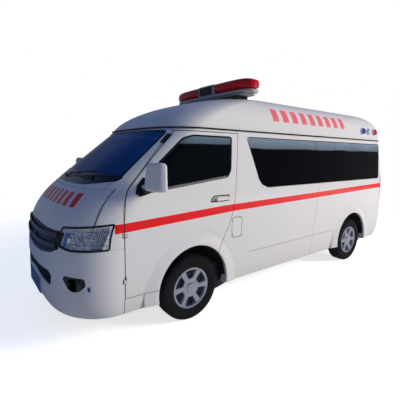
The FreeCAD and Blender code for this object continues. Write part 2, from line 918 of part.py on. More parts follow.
def tailgate_wire():
    left = [at_rear(-side * S.body_half_width, height * S.gutter_height) for side, height in TAILGATE_SHARES]
    return rounded(left + [V(p.x, -p.y, p.z) for p in reversed(left)], S.tailgate_corner)


def tail_lamp_space(grow):
    low = V(TAIL - S.tail_lamp_length - grow, -far, S.tail_lamp_bottom - grow)
    high = V(TAIL + S.overrun, -S.tail_lamp_inner + grow, S.tail_lamp_bottom + S.tail_lamp_height + grow)
    return brick(low, high)


rear_bumper_space = brick(V(fx(S.rear_bumper_front), -far, 0), V(TAIL + S.overrun, 0, S.rear_bumper_top))
tailgate_hole = rear_prism(tailgate_wire(), S.door_gap)
lamp_shell = body_layer(-S.overrun / 3, S.tail_lamp_depth).common(half_space)
lamp_seat = lamp_shell.common(tail_lamp_space(S.seam))


def splits():
    """The upright bars between the panes of the side glass band."""
    return [fx(share * S.wheelbase) for share in BAND_SPLIT_SHARES]


def band_edges():
    front = fx(BAND_SHARES[0][0] * S.wheelbase) - S.overrun
    rear = fx(BAND_SHARES[-1][0] * S.wheelbase) + S.overrun
    return [front] + splits() + [rear]


def band_panes(inset, gap):
    """The band's panes between its bars, as spaces cut through the left wall."""
    band = prism(band_wire(), ACROSS, S.overrun + S.side_reach, -inset)
    edges = band_edges()
    panes = []
    for start, end in zip(edges, edges[1:]):
        low = V(start + gap / 2, -far, 0)
        panes.append(band.common(brick(low, V(end - gap / 2, 0, S.gutter_height))))
    return panes


recess = body_layer(-S.overrun / 10, S.glass_recess).common(half_space).common(band_space)
side_space = brick(V(FRONT_AXLE + S.arch_radius / 2, -far, 0), V(TAIL + S.overrun, 0, S.gutter_height))
side = left_skin.common(side_space).cut([door_hole, tailgate_hole, rear_bumper_space, lamp_seat, recess])
side = side.cut(band_panes(S.pillar_width / 3, S.pillar_width))
side = sorted(side.Solids, key=lambda solid: -solid.Volume)[0]

tailgate_pin = V(TAIL - S.tailgate_pin_in, -S.tailgate_hinge_spacing / 2, S.tailgate_pin_height)


def tailgate_barrel(start, end, radius):
    """A turned piece on the tailgate's hinge line, between two places inward of its middle."""
    return Part.makeCylinder(radius, end - start, tailgate_pin + ACROSS * start, ACROSS)


half_hinge = S.hinge_length / 2
tailgate_arm = brick(tailgate_pin + V(-S.hinge_arm / 2, S.running_fit, 0),
                     tailgate_pin + V(S.hinge_pin_radius / 2, half_hinge, S.tailgate_arm_rise))
tailgate_boss = tailgate_barrel(S.running_fit, half_hinge, S.hinge_radius).fuse(tailgate_arm)
tailgate_boss = tailgate_boss.cut(tailgate_barrel(0, S.hinge_length, S.hinge_pin_radius + S.running_fit))
side = side.fuse(tailgate_boss)

flap_low = V(fx(S.flap_front), -far, S.flap_bottom)


def flap_wire():
    corners = [flap_low, flap_low + ALONG * S.flap_length,
               flap_low + ALONG * S.flap_length + UP * S.flap_height, flap_low + UP * S.flap_height]
    return rounded(corners, S.flap_corner)


flap_outer = body_layer(-S.overrun / 10, S.flap_pocket).common(half_space)
flap_room = flap_outer.common(side_prism(flap_wire(), S.door_gap))
flap_layer = body_layer(0, S.flap_thickness).common(half_space)
flap_pin = V(flap_low.x + S.seam, -S.body_half_width + S.flap_pin_in, S.flap_bottom + S.flap_corner)
pin_length = S.flap_height - 2 * S.flap_corner
flap_hinge = Part.makeCylinder(S.flap_pin_radius, pin_length, flap_pin, UP)
flap = flap_layer.common(side_prism(flap_wire()))
flap_bosses = []
for low in (flap_pin, flap_pin + UP * (pin_length - S.flap_boss_height)):
    room_low = low - UP * S.door_gap
    flap = flap.cut(Part.makeCylinder(S.flap_boss_radius + S.hinge_clearance,
                                      S.flap_boss_height + 2 * S.door_gap, room_low, UP))
    boss = Part.makeCylinder(S.flap_boss_radius, S.flap_boss_height, low, UP)
    web = brick(low - ALONG * (S.door_gap + S.flap_boss_height),
                low + V(0, S.flap_boss_radius, S.flap_boss_height))
    bore = Part.makeCylinder(S.flap_pin_radius + S.running_fit, pin_length, low - UP * pin_length / 2, UP)
    flap_bosses.append(boss.fuse(web).cut(bore))
flap = flap.fuse(flap_hinge)
flap = sorted(flap.Solids, key=lambda solid: -solid.Volume)[0]
feature("fuel_flap", flap)

left_panel = side.cut(flap_room).fuse(flap_bosses)
feature("side_panel_left", left_panel)


def slide_wire():
    low = at_side(fx(S.slide_front), S.slide_bottom)
    up = UP * (S.slide_top - S.slide_bottom)
    corners = [low, low + ALONG * S.slide_length, low + ALONG * S.slide_length + up, low + up]
    return rounded(corners, S.slide_corner)


slide_space = side_prism(slide_wire())
slide_hole = side_prism(slide_wire(), S.seam)
slide_panel = side.common(slide_space)
slide_panel = sorted(slide_panel.Solids, key=lambda solid: -solid.Volume)[0]
feature("sliding_door", flipped(slide_panel))
right_panel = side.cut(slide_hole)
right_panel = sorted(right_panel.Solids, key=lambda solid: -solid.Volume)[0]
feature("side_panel_right", flipped(right_panel))

panes = [left_glass.common(pane) for pane in band_panes(S.seam, S.glass_gap)]
feature("side_glass", Part.makeCompound(panes + [flipped(pane) for pane in panes]))

tailgate = left_skin.common(rear_prism(tailgate_wire()))
tailgate = tailgate.fuse(flipped(tailgate)).removeSplitter()
REAR_WINDOW_SHARES = [(0.76, 0.665), (0.745, 0.80), (0.70, 0.955)]


def rear_window_wire():
    left = [at_rear(-side * S.body_half_width, height * S.gutter_height)
            for side, height in REAR_WINDOW_SHARES]
    return rounded(left + [V(p.x, -p.y, p.z) for p in reversed(left)], S.tailgate_corner)


tailgate = tailgate.cut(rear_prism(rear_window_wire()))
boss_room = tailgate_barrel(0, half_hinge + S.hinge_clearance, S.hinge_radius + S.hinge_clearance)
gate_barrel = tailgate_barrel(-half_hinge, -S.running_fit, S.hinge_radius)
gate_pin = tailgate_barrel(-half_hinge, half_hinge, S.hinge_pin_radius)
tailgate = tailgate.cut([boss_room, flipped(boss_room)])
tailgate = tailgate.fuse([gate_barrel, gate_pin, flipped(gate_barrel), flipped(gate_pin)])
feature("tailgate", tailgate)
rear_space = brick(V(fx(S.rear_bumper_front), -far, 0), V(TAIL + S.overrun, far, far * 3))
feature("tailgate_glass", glass_layer.common(rear_prism(rear_window_wire(), -S.seam)).common(rear_space))
ahead_of_bumper = brick(V(NOSE, -far, 0), V(fx(S.rear_bumper_front) + S.seam, 0, far))
rear_half = left_skin.common(rear_bumper_space).cut(ahead_of_bumper)
rear_half = rear_half.common(brick(V(NOSE, -far, 0), V(TAIL, 0, S.rear_bumper_top - S.seam)))
feature("rear_bumper", rear_half.fuse(flipped(rear_half)).removeSplitter())
tail_lamp = body_layer(0, S.tail_lamp_depth - S.seam).common(half_space).common(tail_lamp_space(0))
tail_lamp = tail_lamp.cut(tailgate_hole)
tail_lamp = sorted(tail_lamp.Solids, key=lambda solid: -solid.Volume)[0]
feature("tail_lamps", both(tail_lamp))

# Roof



def roof_seat(inward):
    """The outline on which the raised roof stands, moved inward."""
    top = BODY_SHARES[-1]
    return outline(level_curves(
        S.gutter_height,
        NOSE + top[1] * S.front_overhang,
        TAIL - top[4] * S.rear_overhang,
        top[2] * S.body_half_width,
        top[3] * S.front_overhang,
        S.tail_corner,
        inward,
    ))


gutter_rise = UP * (S.gutter_thickness - S.seam)
gutter_strip = Part.Face(roof_seat(-S.gutter_proud)).extrude(gutter_rise)
gutter_strip = gutter_strip.cut(Part.Face(roof_seat(S.roof_wall)).extrude(gutter_rise))
feature("gutter_strip", gutter_strip.translated(UP * S.seam))
foot_of_roof = brick(V(NOSE, -far, 0), V(TAIL, far, S.gutter_height + S.gutter_thickness + S.seam))
feature("roof", roof_core(0).cut([roof_core(S.roof_wall), foot_of_roof]))

bar_low = V(fx(S.bar_back - S.bar_depth / 2), -S.bar_width / 2, S.bar_base)
bar_base = soft_brick(bar_low, bar_low + V(S.bar_depth, S.bar_width, S.bar_base_height),
                      S.bar_base_height / 3)
middle_low = V(bar_low.x, -S.bar_middle / 2, S.bar_base + S.bar_base_height / 2)
middle = brick(middle_low, middle_low + V(S.bar_depth, S.bar_middle,
                                          S.bar_lens_height + S.bar_base_height / 2 - S.seam))
feet = []
for side_sign in (LEFT, RIGHT):
    y = side_sign * S.bar_foot_spacing / 2 - S.bar_foot_width / 2
    low = V(bar_low.x + S.bar_foot_width, y, S.gutter_height + S.roof_rise * 0.8)
    feet.append(brick(low, V(bar_low.x + S.bar_depth - S.bar_foot_width, y + S.bar_foot_width,
                             S.bar_base + S.bar_base_height / 2)))
bar = bar_base.fuse([middle] + feet).cut(roof_core(-S.seam))
feature("light_bar", sorted(bar.Solids, key=lambda solid: -solid.Volume)[0])
lens_low = V(bar_low.x, -S.bar_width / 2, S.bar_base + S.bar_base_height + S.seam)
lens_high = V(bar_low.x + S.bar_depth, -S.bar_middle / 2 - S.seam, lens_low.z + S.bar_lens_height)
feature("light_bar_lenses", both(soft_brick(lens_low, lens_high, S.bar_round)))

side_lamps = []
lamp_layer = roof_core(-S.roof_lamp_proud).cut(roof_core(-S.seam))
for i in range(3):
    middle = V(fx(S.roof_lamp_front + i * S.roof_lamp_pitch), -S.body_half_width, S.roof_lamp_level)
    disc = Part.makeCylinder(S.roof_lamp_radius, S.overrun, middle, ACROSS)
    side_lamps.append(disc.common(lamp_layer))
feature("roof_lamps", Part.makeCompound(side_lamps + [flipped(lamp) for lamp in side_lamps]))

# Floor, wheelhouses and posts


def house(axle, depth):
    """A left wheelhouse: an arched liner closed on its inner side."""
    middle = V(axle + S.arch_back, -S.body_half_width + S.body_wall + S.seam, S.tyre_radius + S.arch_rise)
    radius = S.arch_radius + S.house_clearance
    outer = Part.makeCylinder(radius + S.house_wall, depth, middle, ACROSS)
    inner = Part.makeCylinder(radius, depth - S.house_wall, middle, ACROSS)
    top = brick(V(middle.x - 2 * radius, -far, S.floor_top - S.floor_thickness),
                V(middle.x + 2 * radius, 0, far * 2))
    well = Part.makeCylinder(radius + S.house_wall + S.seam, depth + S.seam, middle, ACROSS)
    return outer.cut(inner).common(top).common(inside), well


front_house, front_well = house(FRONT_AXLE, S.front_house_depth)
rear_house, rear_well = house(REAR_AXLE, S.rear_house_depth)
houses = [front_house, rear_house]
feature("wheelhouses", Part.makeCompound(houses + [flipped(one) for one in houses]))

floor_low = V(fx(-S.floor_front), -far, S.floor_top - S.floor_thickness)
floor = inside.common(brick(floor_low, V(TAIL, far, S.floor_top)))
toe_low = V(fx(-S.floor_front) - S.toe_board_thickness, -far, S.floor_top - S.floor_thickness)
toe = inside.common(brick(toe_low, V(fx(-S.floor_front), far, S.toe_board_height)))
wells = [front_well, rear_well, flipped(front_well), flipped(rear_well)]
engine_low = V(fx(-S.engine_front), -S.engine_width / 2, S.engine_bottom)
engine_size = V(S.engine_length, S.engine_width, S.engine_height)
tunnel = brick(engine_low - V(1, 1, 0) * S.glass_recess,
               engine_low + engine_size + V(1, 1, 1) * S.glass_recess)
seat_box_low = V(fx(-S.engine_front) - 3 * S.glass_recess,
                 -S.engine_width / 2 - 3 * S.glass_recess, S.floor_top)
seat_box = brick(seat_box_low, V(fx(S.engine_length - S.engine_front) + 3 * S.glass_recess,
                                 S.engine_width / 2 + 3 * S.glass_recess, S.floor_top + S.seat_box_height))
post_low = V(fx(-S.post_front), -far, S.floor_top - S.floor_thickness)
post_side = -S.body_half_width + S.body_wall + S.post_width
post = inside.common(brick(post_low, V(post_low.x + S.post_depth, post_side, S.toe_board_height)))
link = clear_inside.common(brick(post_low, V(fx(-S.floor_front), post_side, S.toe_board_height)))
ear = brick(ear_low, ear_high).common(body_core(S.door_gap)).cut(
    Part.makeCylinder(S.bonnet_pin_radius + S.running_fit, pin_span, bonnet_pin, -ACROSS))
arms = []
for height in (S.lower_hinge_height, S.upper_hinge_height):
    axis = hinge_axis(height)
    half = S.hinge_length / 2
    front = axis.x - S.hinge_radius - S.hinge_arm - S.hinge_clearance
    leg = brick(V(front, axis.y - S.hinge_arm / 2, height - half),
                V(front + S.hinge_arm, -S.body_half_width + S.body_wall + S.post_width / 2, height - S.seam))
    web = brick(V(front, axis.y - S.hinge_arm / 2, height - half),
                V(axis.x, axis.y + S.hinge_arm / 2, height - S.seam))
    barrel = hinge_barrel(height, -half, -S.running_fit, S.hinge_radius)
    arms.append(leg.fuse([web, barrel]).cut(
        hinge_barrel(height, -half - S.hinge_clearance, 0, S.hinge_pin_radius + S.running_fit)))
posts = post.fuse([link, ear])
door_room = body_layer(-S.seam, S.body_wall + S.door_gap).common(half_space).common(door_hole)
floor = less(floor, wells + [tunnel]).fuse([less(toe, wells), seat_box.cut(tunnel), posts, flipped(posts)])
floor = less(floor, [door_room, flipped(door_room)])
feature("floor", floor.fuse(arms + [flipped(arm) for arm in arms]).removeSplitter())


def bound(kind, name, **sizes):
    """A primitive whose sizes and place are tied to the sheet by expressions."""
    thing = doc.addObject(kind, name)
    for key, expression in sizes.items():
        target = {"X": "Placement.Base.x", "Y": "Placement.Base.y", "Z": "Placement.Base.z"}.get(key, key)
        thing.setExpression(target, expression)
    return thing


HALF = "(Sizes.front_overhang + Sizes.wheelbase + Sizes.rear_overhang) / 2"
AXLE_X = f"(Sizes.front_overhang - {HALF})"
REAR_X = f"(Sizes.front_overhang + Sizes.wheelbase - {HALF})"
FLOOR_BOTTOM = "(Sizes.floor_top - Sizes.floor_thickness)"

# Chassis rails, engine and running gear

rails = []
for side_name, sign in (("left", "-"), ("right", "")):
    shift = "Sizes.rail_width / 2"
    rail = bound(
        "Part::Box", f"rail_{side_name}",
        Length="Sizes.rail_end + Sizes.wheelbase + Sizes.rail_tail",
        Width="Sizes.rail_width",
        Height="Sizes.rail_height",
        X=f"{AXLE_X} - Sizes.rail_end",
        Y=f"{sign}Sizes.rail_spacing / 2 - {shift}",
        Z=f"{FLOOR_BOTTOM} - Sizes.rail_height",
    )
    rails.append(rail)
# Cross members: where each starts behind the front axle
CROSS_STARTS = ("-Sizes.radiator_front", "Sizes.cross_middle", "Sizes.cross_rear", "Sizes.cross_tail")
for i, start in enumerate(CROSS_STARTS):
    rails.append(bound(
        "Part::Box", f"cross_{i}",
        Length="Sizes.radiator_depth",
        Width="Sizes.rail_spacing",
        Height="Sizes.cross_height",
        X=f"{AXLE_X} + {start}",
        Y="-Sizes.rail_spacing / 2",
        Z="Sizes.radiator_bottom - Sizes.seam - Sizes.cross_height",
    ))
body_inside = doc.addObject("Part::Feature", "body_inside")
body_inside.Shape = inside
rail_pair = doc.addObject("Part::MultiFuse", "rail_pair")
rail_pair.Shapes = rails
rail_fit = doc.addObject("Part::Common", "rail_fit")
rail_fit.Base = rail_pair
rail_fit.Tool = body_inside
keep("chassis_rails", rail_fit)

engine = bound(
    "Part::Box", "engine",
    Length="Sizes.engine_length",
    Width="Sizes.engine_width",
    Height="Sizes.engine_height",
    X=f"{AXLE_X} - Sizes.engine_front",
    Y="-Sizes.engine_width / 2",
    Z="Sizes.engine_bottom",
)
keep("engine", engine)
radiator = bound(
    "Part::Box", "radiator",
    Length="Sizes.radiator_depth",
    Width="Sizes.radiator_width",
    Height="Sizes.radiator_height",
    X=f"{AXLE_X} - Sizes.radiator_front",
    Y="-Sizes.radiator_width / 2",
    Z="Sizes.radiator_bottom",
)
keep("radiator", radiator)

tank = bound(
    "Part::Box", "tank_block",
    Length="Sizes.tank_length",
    Width="Sizes.tank_width",
    Height="Sizes.tank_height",
    X=f"{AXLE_X} + Sizes.tank_front",
    Y="-(Sizes.rail_spacing + Sizes.rail_width) / 2 - Sizes.running_fit - Sizes.tank_width",
    Z=f"{FLOOR_BOTTOM} - Sizes.tank_height",
)
keep("fuel_tank", tank)

pipe_x = fx(S.engine_length - S.engine_front)
pipe = Part.makeCylinder(S.exhaust_radius, TAIL - S.body_wall * 4 - pipe_x,
                         V(pipe_x + S.seam, S.exhaust_side, S.exhaust_level), ALONG)
muffler = Part.makeCylinder(S.muffler_radius, S.muffler_length,
                            V(fx(S.muffler_front), S.exhaust_side - S.muffler_radius / 2, S.exhaust_level),
                            ALONG)
hangers = []
for x in (fx(S.muffler_front + S.muffler_length / 2), TAIL - S.body_wall * 6):
    low = V(x, S.exhaust_side - S.hanger_thickness / 2, S.exhaust_level)
    hangers.append(brick(low, V(x + S.hanger_thickness, S.exhaust_side + S.hanger_thickness / 2,
                                S.floor_top - S.floor_thickness)))
feature("exhaust", pipe.fuse([muffler] + hangers))

# Wheels


def plane_of(body, role):
    """One of a body's own origin planes."""
    return next(item for item in body.Origin.OriginFeatures if item.Role == role)


def bound_sketch(body, name, corners, role="XY_Plane"):
    """A closed outline whose every corner is tied to the sheet by two expressions."""
    sketch = body.newObject("Sketcher::SketchObject", name)
    sketch.AttachmentSupport = (plane_of(body, role), [""])
    sketch.MapMode = "FlatFace"
    places = [V(float(sketch.evalExpression(x)), float(sketch.evalExpression(y)), 0) for x, y in corners]
    count = len(places)
    for i in range(count):
        sketch.addGeometry(Part.LineSegment(places[i], places[(i + 1) % count]), False)
    for i in range(count):
        sketch.addConstraint(Sketcher.Constraint("Coincident", i, 2, (i + 1) % count, 1))
    for i in range(count):
        if corners[i][0] == "0":
            sketch.addConstraint(Sketcher.Constraint("PointOnObject", i, 1, -2))
        else:
            number = sketch.addConstraint(Sketcher.Constraint("DistanceX", -1, 1, i, 1, places[i].x))
            sketch.setExpression(f"Constraints[{number}]", corners[i][0])
        number = sketch.addConstraint(Sketcher.Constraint("DistanceY", -1, 1, i, 1, places[i].y))
        sketch.setExpression(f"Constraints[{number}]", corners[i][1])
    return sketch


def turned(body, sketch, name):
    """The sketch turned a full circle about its upright axis."""
    ring = body.newObject("PartDesign::Revolution", name)
    ring.Profile = sketch
    ring.ReferenceAxis = (sketch, ["V_Axis"])
    ring.Angle = 360
    sketch.Visibility = False
    return ring


# Tyre section: shares of the sidewall's height above the bead, and of half the width
TYRE_SHARES = [(0, 0.82), (0.26, 0.95), (0.55, 1.0), (0.88, 0.90), (1.0, 0.66)]
# Wheel section: radius from the cover's radius, outward places from the cover's edge
WHEELS = {
    "front_left": (AXLE_X, "-"),
    "front_right": (AXLE_X, ""),
    "rear_left": (REAR_X, "-"),
    "rear_right": (REAR_X, ""),
}


def tyre_corners():
    wall = "(Sizes.tyre_radius - Sizes.bead_radius - Sizes.seam)"
    base = "Sizes.bead_radius + Sizes.seam"
    half = [(f"{base} + {wall} * {rise}", f"Sizes.tyre_width / 2 * {out}") for rise, out in TYRE_SHARES]
    return half + [(x, f"-({y})") for x, y in reversed(half)]


def rim_corners():
    """The wheel in section: cap, spoked face, flanges, barrel and hub plate, outward side up."""
    lip = "Sizes.rim_width / 2"
    tube = "Sizes.hub_radius + Sizes.cover_wall"
    barrel = "Sizes.bead_radius - Sizes.rim_wall"
    return [
        ("0", "Sizes.cap_level"),
        ("Sizes.cap_radius", "Sizes.cap_level"),
        ("Sizes.hub_radius", "Sizes.cover_edge - 3 * Sizes.cover_wall"),
        ("Sizes.window_outer", "Sizes.cover_edge - Sizes.cover_wall"),
        ("Sizes.cover_radius", "Sizes.cover_edge"),
        ("Sizes.cover_radius", f"{lip} + Sizes.flange_rise"),
        ("Sizes.bead_radius", lip),
        ("Sizes.bead_radius", f"-{lip}"),
        ("Sizes.cover_radius", f"-{lip} - Sizes.flange_rise"),
        ("Sizes.cover_radius", "-Sizes.cover_edge"),
        (barrel, "-Sizes.cover_edge"),
        (barrel, "Sizes.cover_edge - 2 * Sizes.cover_wall"),
        (tube, "Sizes.cover_edge - 4 * Sizes.cover_wall"),
        (tube, "Sizes.hub_level"),
        ("Sizes.hub_bore + Sizes.running_fit", "Sizes.hub_level"),
        ("Sizes.hub_bore + Sizes.running_fit", "Sizes.hub_level + Sizes.hub_wall"),
        ("Sizes.hub_radius", "Sizes.hub_level + Sizes.hub_wall"),
        ("Sizes.cap_radius", "Sizes.cap_level - 2 * Sizes.cover_wall"),
        ("0", "Sizes.cap_level - 2 * Sizes.cover_wall"),
    ]


def place_wheel(body, x, sign):
    body.setExpression("Placement.Base.x", x)
    body.setExpression("Placement.Base.y", f"{sign}Sizes.wheel_track / 2")
    body.setExpression("Placement.Base.z", "Sizes.tyre_radius")
    if sign == "-":
        body.Placement.Rotation = FreeCAD.Rotation(UP, 180)


for wheel, (x, sign) in WHEELS.items():
    tyre = doc.addObject("PartDesign::Body", f"tyre_{wheel}")
    section = bound_sketch(tyre, f"tyre_section_{wheel}", tyre_corners())
    tyre.Tip = turned(tyre, section, f"tyre_ring_{wheel}")
    place_wheel(tyre, x, sign)
    keep(f"tyre_{wheel}", tyre)

    rim = doc.addObject("PartDesign::Body", f"rim_{wheel}")
    section = bound_sketch(rim, f"rim_section_{wheel}", rim_corners())
    ring = turned(rim, section, f"rim_ring_{wheel}")
    inner = "Sizes.window_inner_width / 2"
    outer = "Sizes.window_outer_width / 2"
    opening = bound_sketch(rim, f"rim_window_{wheel}", [
        (f"-{inner}", "Sizes.window_inner"),
        (inner, "Sizes.window_inner"),
        (outer, "Sizes.window_outer"),
        (f"-{outer}", "Sizes.window_outer"),
    ], "XZ_Plane")
    doc.recompute()
    window = rim.newObject("PartDesign::Pocket", f"rim_pocket_{wheel}")
    window.Profile = opening
    window.Type = 1
    window.Midplane = True
    opening.Visibility = False
    doc.recompute()
    pattern = rim.newObject("PartDesign::PolarPattern", f"rim_windows_{wheel}")
    pattern.Originals = [window]
    pattern.Axis = (opening, ["N_Axis"])
    pattern.Angle = 360
    pattern.setExpression("Occurrences", "Sizes.wheel_windows")
    rim.Tip = pattern
    place_wheel(rim, x, sign)
    keep(f"rim_{wheel}", rim)
doc.recompute()

# Steering knuckles, arms and rear axle

kingpin_y = -S.wheel_track / 2 + S.kingpin_offset
spindle_end = -S.wheel_track / 2 - S.hub_level - S.hub_wall
upright_low = V(FRONT_AXLE - S.upright_depth / 2, kingpin_y - S.upright_thickness / 2, S.upright_bottom)
upright = brick(upright_low, upright_low + V(S.upright_depth, S.upright_thickness,
                                             S.upright_top - S.upright_bottom))
axle_point = V(FRONT_AXLE, kingpin_y, S.tyre_radius)
spindle = Part.makeCylinder(S.hub_bore, kingpin_y - spindle_end, axle_point, -ACROSS)
disc = Part.makeCylinder(S.disc_radius, S.disc_thickness,
                         axle_point - ACROSS * (S.arm_eye + S.hinge_clearance * 2), -ACROSS)
low_pin = Part.makeCylinder(S.kingpin_radius, S.kingpin_length,
                            V(FRONT_AXLE, kingpin_y, S.upright_bottom - S.kingpin_length), UP)
top_pin = Part.makeCylinder(S.kingpin_radius, S.kingpin_length, V(FRONT_AXLE, kingpin_y, S.upright_top), UP)
shoulder = Part.makeCylinder(S.hub_radius, S.hub_level, V(FRONT_AXLE, -S.wheel_track / 2 - S.hub_level +
                                                          S.running_fit, S.tyre_radius), ACROSS)
knuckle = upright.fuse([spindle, disc, low_pin, top_pin, shoulder]).removeSplitter()
feature("knuckle_left", knuckle)
feature("knuckle_right", flipped(knuckle))

pin_hole = S.kingpin_radius + S.running_fit
eye_low = V(FRONT_AXLE, kingpin_y, S.upright_bottom - S.seam - S.arm_thickness)
eye = Part.makeCylinder(S.arm_eye, S.arm_thickness, eye_low, UP)
root_y = -S.rail_spacing / 2 + S.rail_width
root = [V(FRONT_AXLE - S.arm_reach / 2, root_y, eye_low.z),
        V(FRONT_AXLE + S.arm_reach / 2, root_y, eye_low.z)]
tip = [V(FRONT_AXLE + S.arm_eye, kingpin_y, eye_low.z), V(FRONT_AXLE - S.arm_eye, kingpin_y, eye_low.z)]
arm = Part.Face(Part.makePolygon(root + tip + [root[0]])).extrude(UP * S.arm_thickness)
bore = Part.makeCylinder(pin_hole, S.arm_thickness * 3, eye_low - UP * S.arm_thickness, UP)
hanger_low = V(FRONT_AXLE - S.arm_reach / 2, root_y - S.rail_width, eye_low.z)
hanger = brick(hanger_low, V(FRONT_AXLE + S.arm_reach / 2, root_y,
                             S.floor_top - S.floor_thickness - S.rail_height))
strut_low = V(FRONT_AXLE, kingpin_y, S.upright_top + S.seam)
strut = Part.makeCylinder(S.strut_radius, S.floor_top + S.seat_box_height / 2 - strut_low.z, strut_low, UP)
strut_hole = Part.makeCylinder(pin_hole, S.kingpin_length + S.seam, strut_low - UP * S.seam, UP)
front_arm = eye.fuse([arm, hanger]).cut(bore)
front_strut = strut.cut(strut_hole)
left_side = [front_arm, front_strut]
feature("front_suspension", Part.makeCompound(left_side + [flipped(one) for one in left_side]))

drum_in = -S.wheel_track / 2 - S.hub_level + S.drum_width
axle_span = 2 * (S.wheel_track / 2 + S.hub_level + S.hub_wall)
beam = Part.makeCylinder(S.axle_tube_radius, -2 * drum_in, V(REAR_AXLE, drum_in, S.tyre_radius), ACROSS)
stub = Part.makeCylinder(S.hub_bore, axle_span, V(REAR_AXLE, -axle_span / 2, S.tyre_radius), ACROSS)
gear = Part.makeSphere(S.differential_radius, V(REAR_AXLE, 0, S.tyre_radius))
drum = Part.makeCylinder(S.drum_radius, S.drum_width - S.running_fit,
                         V(REAR_AXLE, -S.wheel_track / 2 - S.hub_level + S.running_fit, S.tyre_radius),
                         ACROSS)
springs = []
for side_sign in (LEFT, RIGHT):
    y = side_sign * S.spring_spacing / 2 - S.spring_width / 2
    level = S.tyre_radius + S.axle_tube_radius - S.glass_recess
    low = V(REAR_AXLE - S.spring_length / 2, y, S.spring_eye_level)
    mid = V(REAR_AXLE, y, level)
    high = V(REAR_AXLE + S.spring_length / 2, y, S.spring_eye_level)
    lift = UP * S.spring_thickness
    outline = Part.Wire([
        Part.Arc(low, mid, high).toShape(), Part.makeLine(high, high + lift),
        Part.Arc(high + lift, mid + lift, low + lift).toShape(), Part.makeLine(low + lift, low)])
    springs.append(Part.Face(outline).extrude(ACROSS * S.spring_width))
    for end in (low, high - ALONG * S.hanger_width):
        hanger_top = S.floor_top - S.floor_thickness - S.seam
        springs.append(brick(end, V(end.x + S.hanger_width, y + S.spring_width, hanger_top)))
feature("rear_axle", beam.fuse([stub, gear, drum, flipped(drum)] + springs))

# Cab and load space


def seat_form(y):
    """A front seat: base, cushion, leaning back and headrest."""
    low = V(fx(S.seat_front), y - S.seat_width / 2, S.floor_top + S.seat_box_height + S.seam)
    cushion = soft_brick(low, low + V(S.seat_depth, S.seat_width, S.seat_cushion), S.seat_round)
    back_foot = low + V(S.seat_depth - S.seat_back_thickness / 2, 0, S.seat_cushion / 2)
    side = [back_foot, back_foot + ALONG * S.seat_back_thickness,
            back_foot + V(S.seat_back_thickness + S.seat_back_lean, 0, S.seat_back_height),
            back_foot + V(S.seat_back_lean, 0, S.seat_back_height)]
    back = prism(rounded(side, S.seat_round), ACROSS, S.seat_width)
    rest_low = back_foot + V(S.seat_back_lean, (S.seat_width - S.headrest_width) / 2,
                             S.seat_back_height + S.headrest_gap)
    rest = soft_brick(rest_low, rest_low + V(S.seat_back_thickness * 0.8, S.headrest_width,
                                             S.headrest_height), S.seat_round)
    stem_middle = rest_low + ACROSS * S.headrest_width / 2
    stem = brick(stem_middle + V(S.seat_round, -S.seat_round / 2, -S.seat_cushion),
                 stem_middle + V(S.seat_round * 2, S.seat_round / 2, S.headrest_height / 2))
    base = brick(V(low.x + S.seat_round, low.y + S.seat_round, S.floor_top),
                 V(low.x + S.seat_depth - S.seat_round, low.y + S.seat_width - S.seat_round,
                   low.z + S.seat_round))
    return cushion.fuse([back, rest, stem, base])


seats = [seat_form(sign * S.seat_spacing / 2) for sign in (LEFT, RIGHT)]
seats = [seat.cut(seat_box.fuse(wells)) for seat in seats]
seats = [sorted(seat.Solids, key=lambda solid: -solid.Volume)[0] for seat in seats]
feature("cab_seats", Part.makeCompound(seats))

dash_low = V(fx(-S.floor_front) + S.seam, -S.dash_half_width, S.dash_bottom)
# Dashboard section, as shares of its depth and height
DASH_SHARES = [(0, 0), (0.7, 0), (1, 0.7), (0.8, 1), (0, 1)]
dash_side = [dash_low + V(back * S.dash_depth, 0, up * S.dash_height) for back, up in DASH_SHARES]
dash = prism(rounded(dash_side, S.dash_round), ACROSS, 2 * S.dash_half_width).common(clear_inside)
feature("dashboard", dash)

steer_centre = V(fx(S.steering_x), -S.seat_spacing / 2, S.steering_z)
steer_axis = V(math.cos(math.radians(S.steering_tilt)), 0, math.sin(math.radians(S.steering_tilt)))
hoop = Part.makeTorus(S.steering_radius, S.steering_grip, steer_centre, steer_axis)
boss_foot = steer_centre - steer_axis * S.steering_grip
boss = Part.makeCylinder(S.steering_boss, S.steering_grip * 2, boss_foot, steer_axis)
column_foot = steer_centre - steer_axis * S.column_length
column = Part.makeCylinder(S.column_radius, S.column_length, column_foot, steer_axis)
spoke_end = steer_centre - ACROSS * S.steering_radius
spoke = Part.makeCylinder(S.steering_grip * 0.7, 2 * S.steering_radius, spoke_end, ACROSS)
feature("steering_wheel", hoop.fuse([boss, column, spoke]).cut(dash))

stretch_low = V(fx(S.stretcher_front), -S.stretcher_width / 2, S.floor_top + S.stretcher_height)
bed = brick(stretch_low, stretch_low + V(S.stretcher_length, S.stretcher_width, S.stretcher_frame))
legs = []
for x in (stretch_low.x + S.stretcher_width / 2, stretch_low.x + S.stretcher_length - S.stretcher_width / 2):
    for y in (stretch_low.y, -stretch_low.y - S.stretcher_leg):
        legs.append(brick(V(x, y, S.floor_top), V(x + S.stretcher_leg, y + S.stretcher_leg, stretch_low.z)))
feature("stretcher", bed.fuse(legs))
mat_low = stretch_low + V(S.mattress_inset, S.mattress_inset, S.stretcher_frame + S.seam)
mat = soft_brick(mat_low, mat_low + V(S.stretcher_length - 2 * S.mattress_inset, S.stretcher_width -
                                      2 * S.mattress_inset, S.mattress_thickness), S.seat_round)
feature("mattress", mat)
bench_y = S.body_half_width - S.body_wall - S.bench_side_gap
bench = brick(V(fx(S.bench_front), bench_y - S.bench_depth, S.floor_top),
              V(fx(S.bench_front + S.bench_length), bench_y, S.floor_top + S.bench_height)).common(inside)
feature("bench", bench)

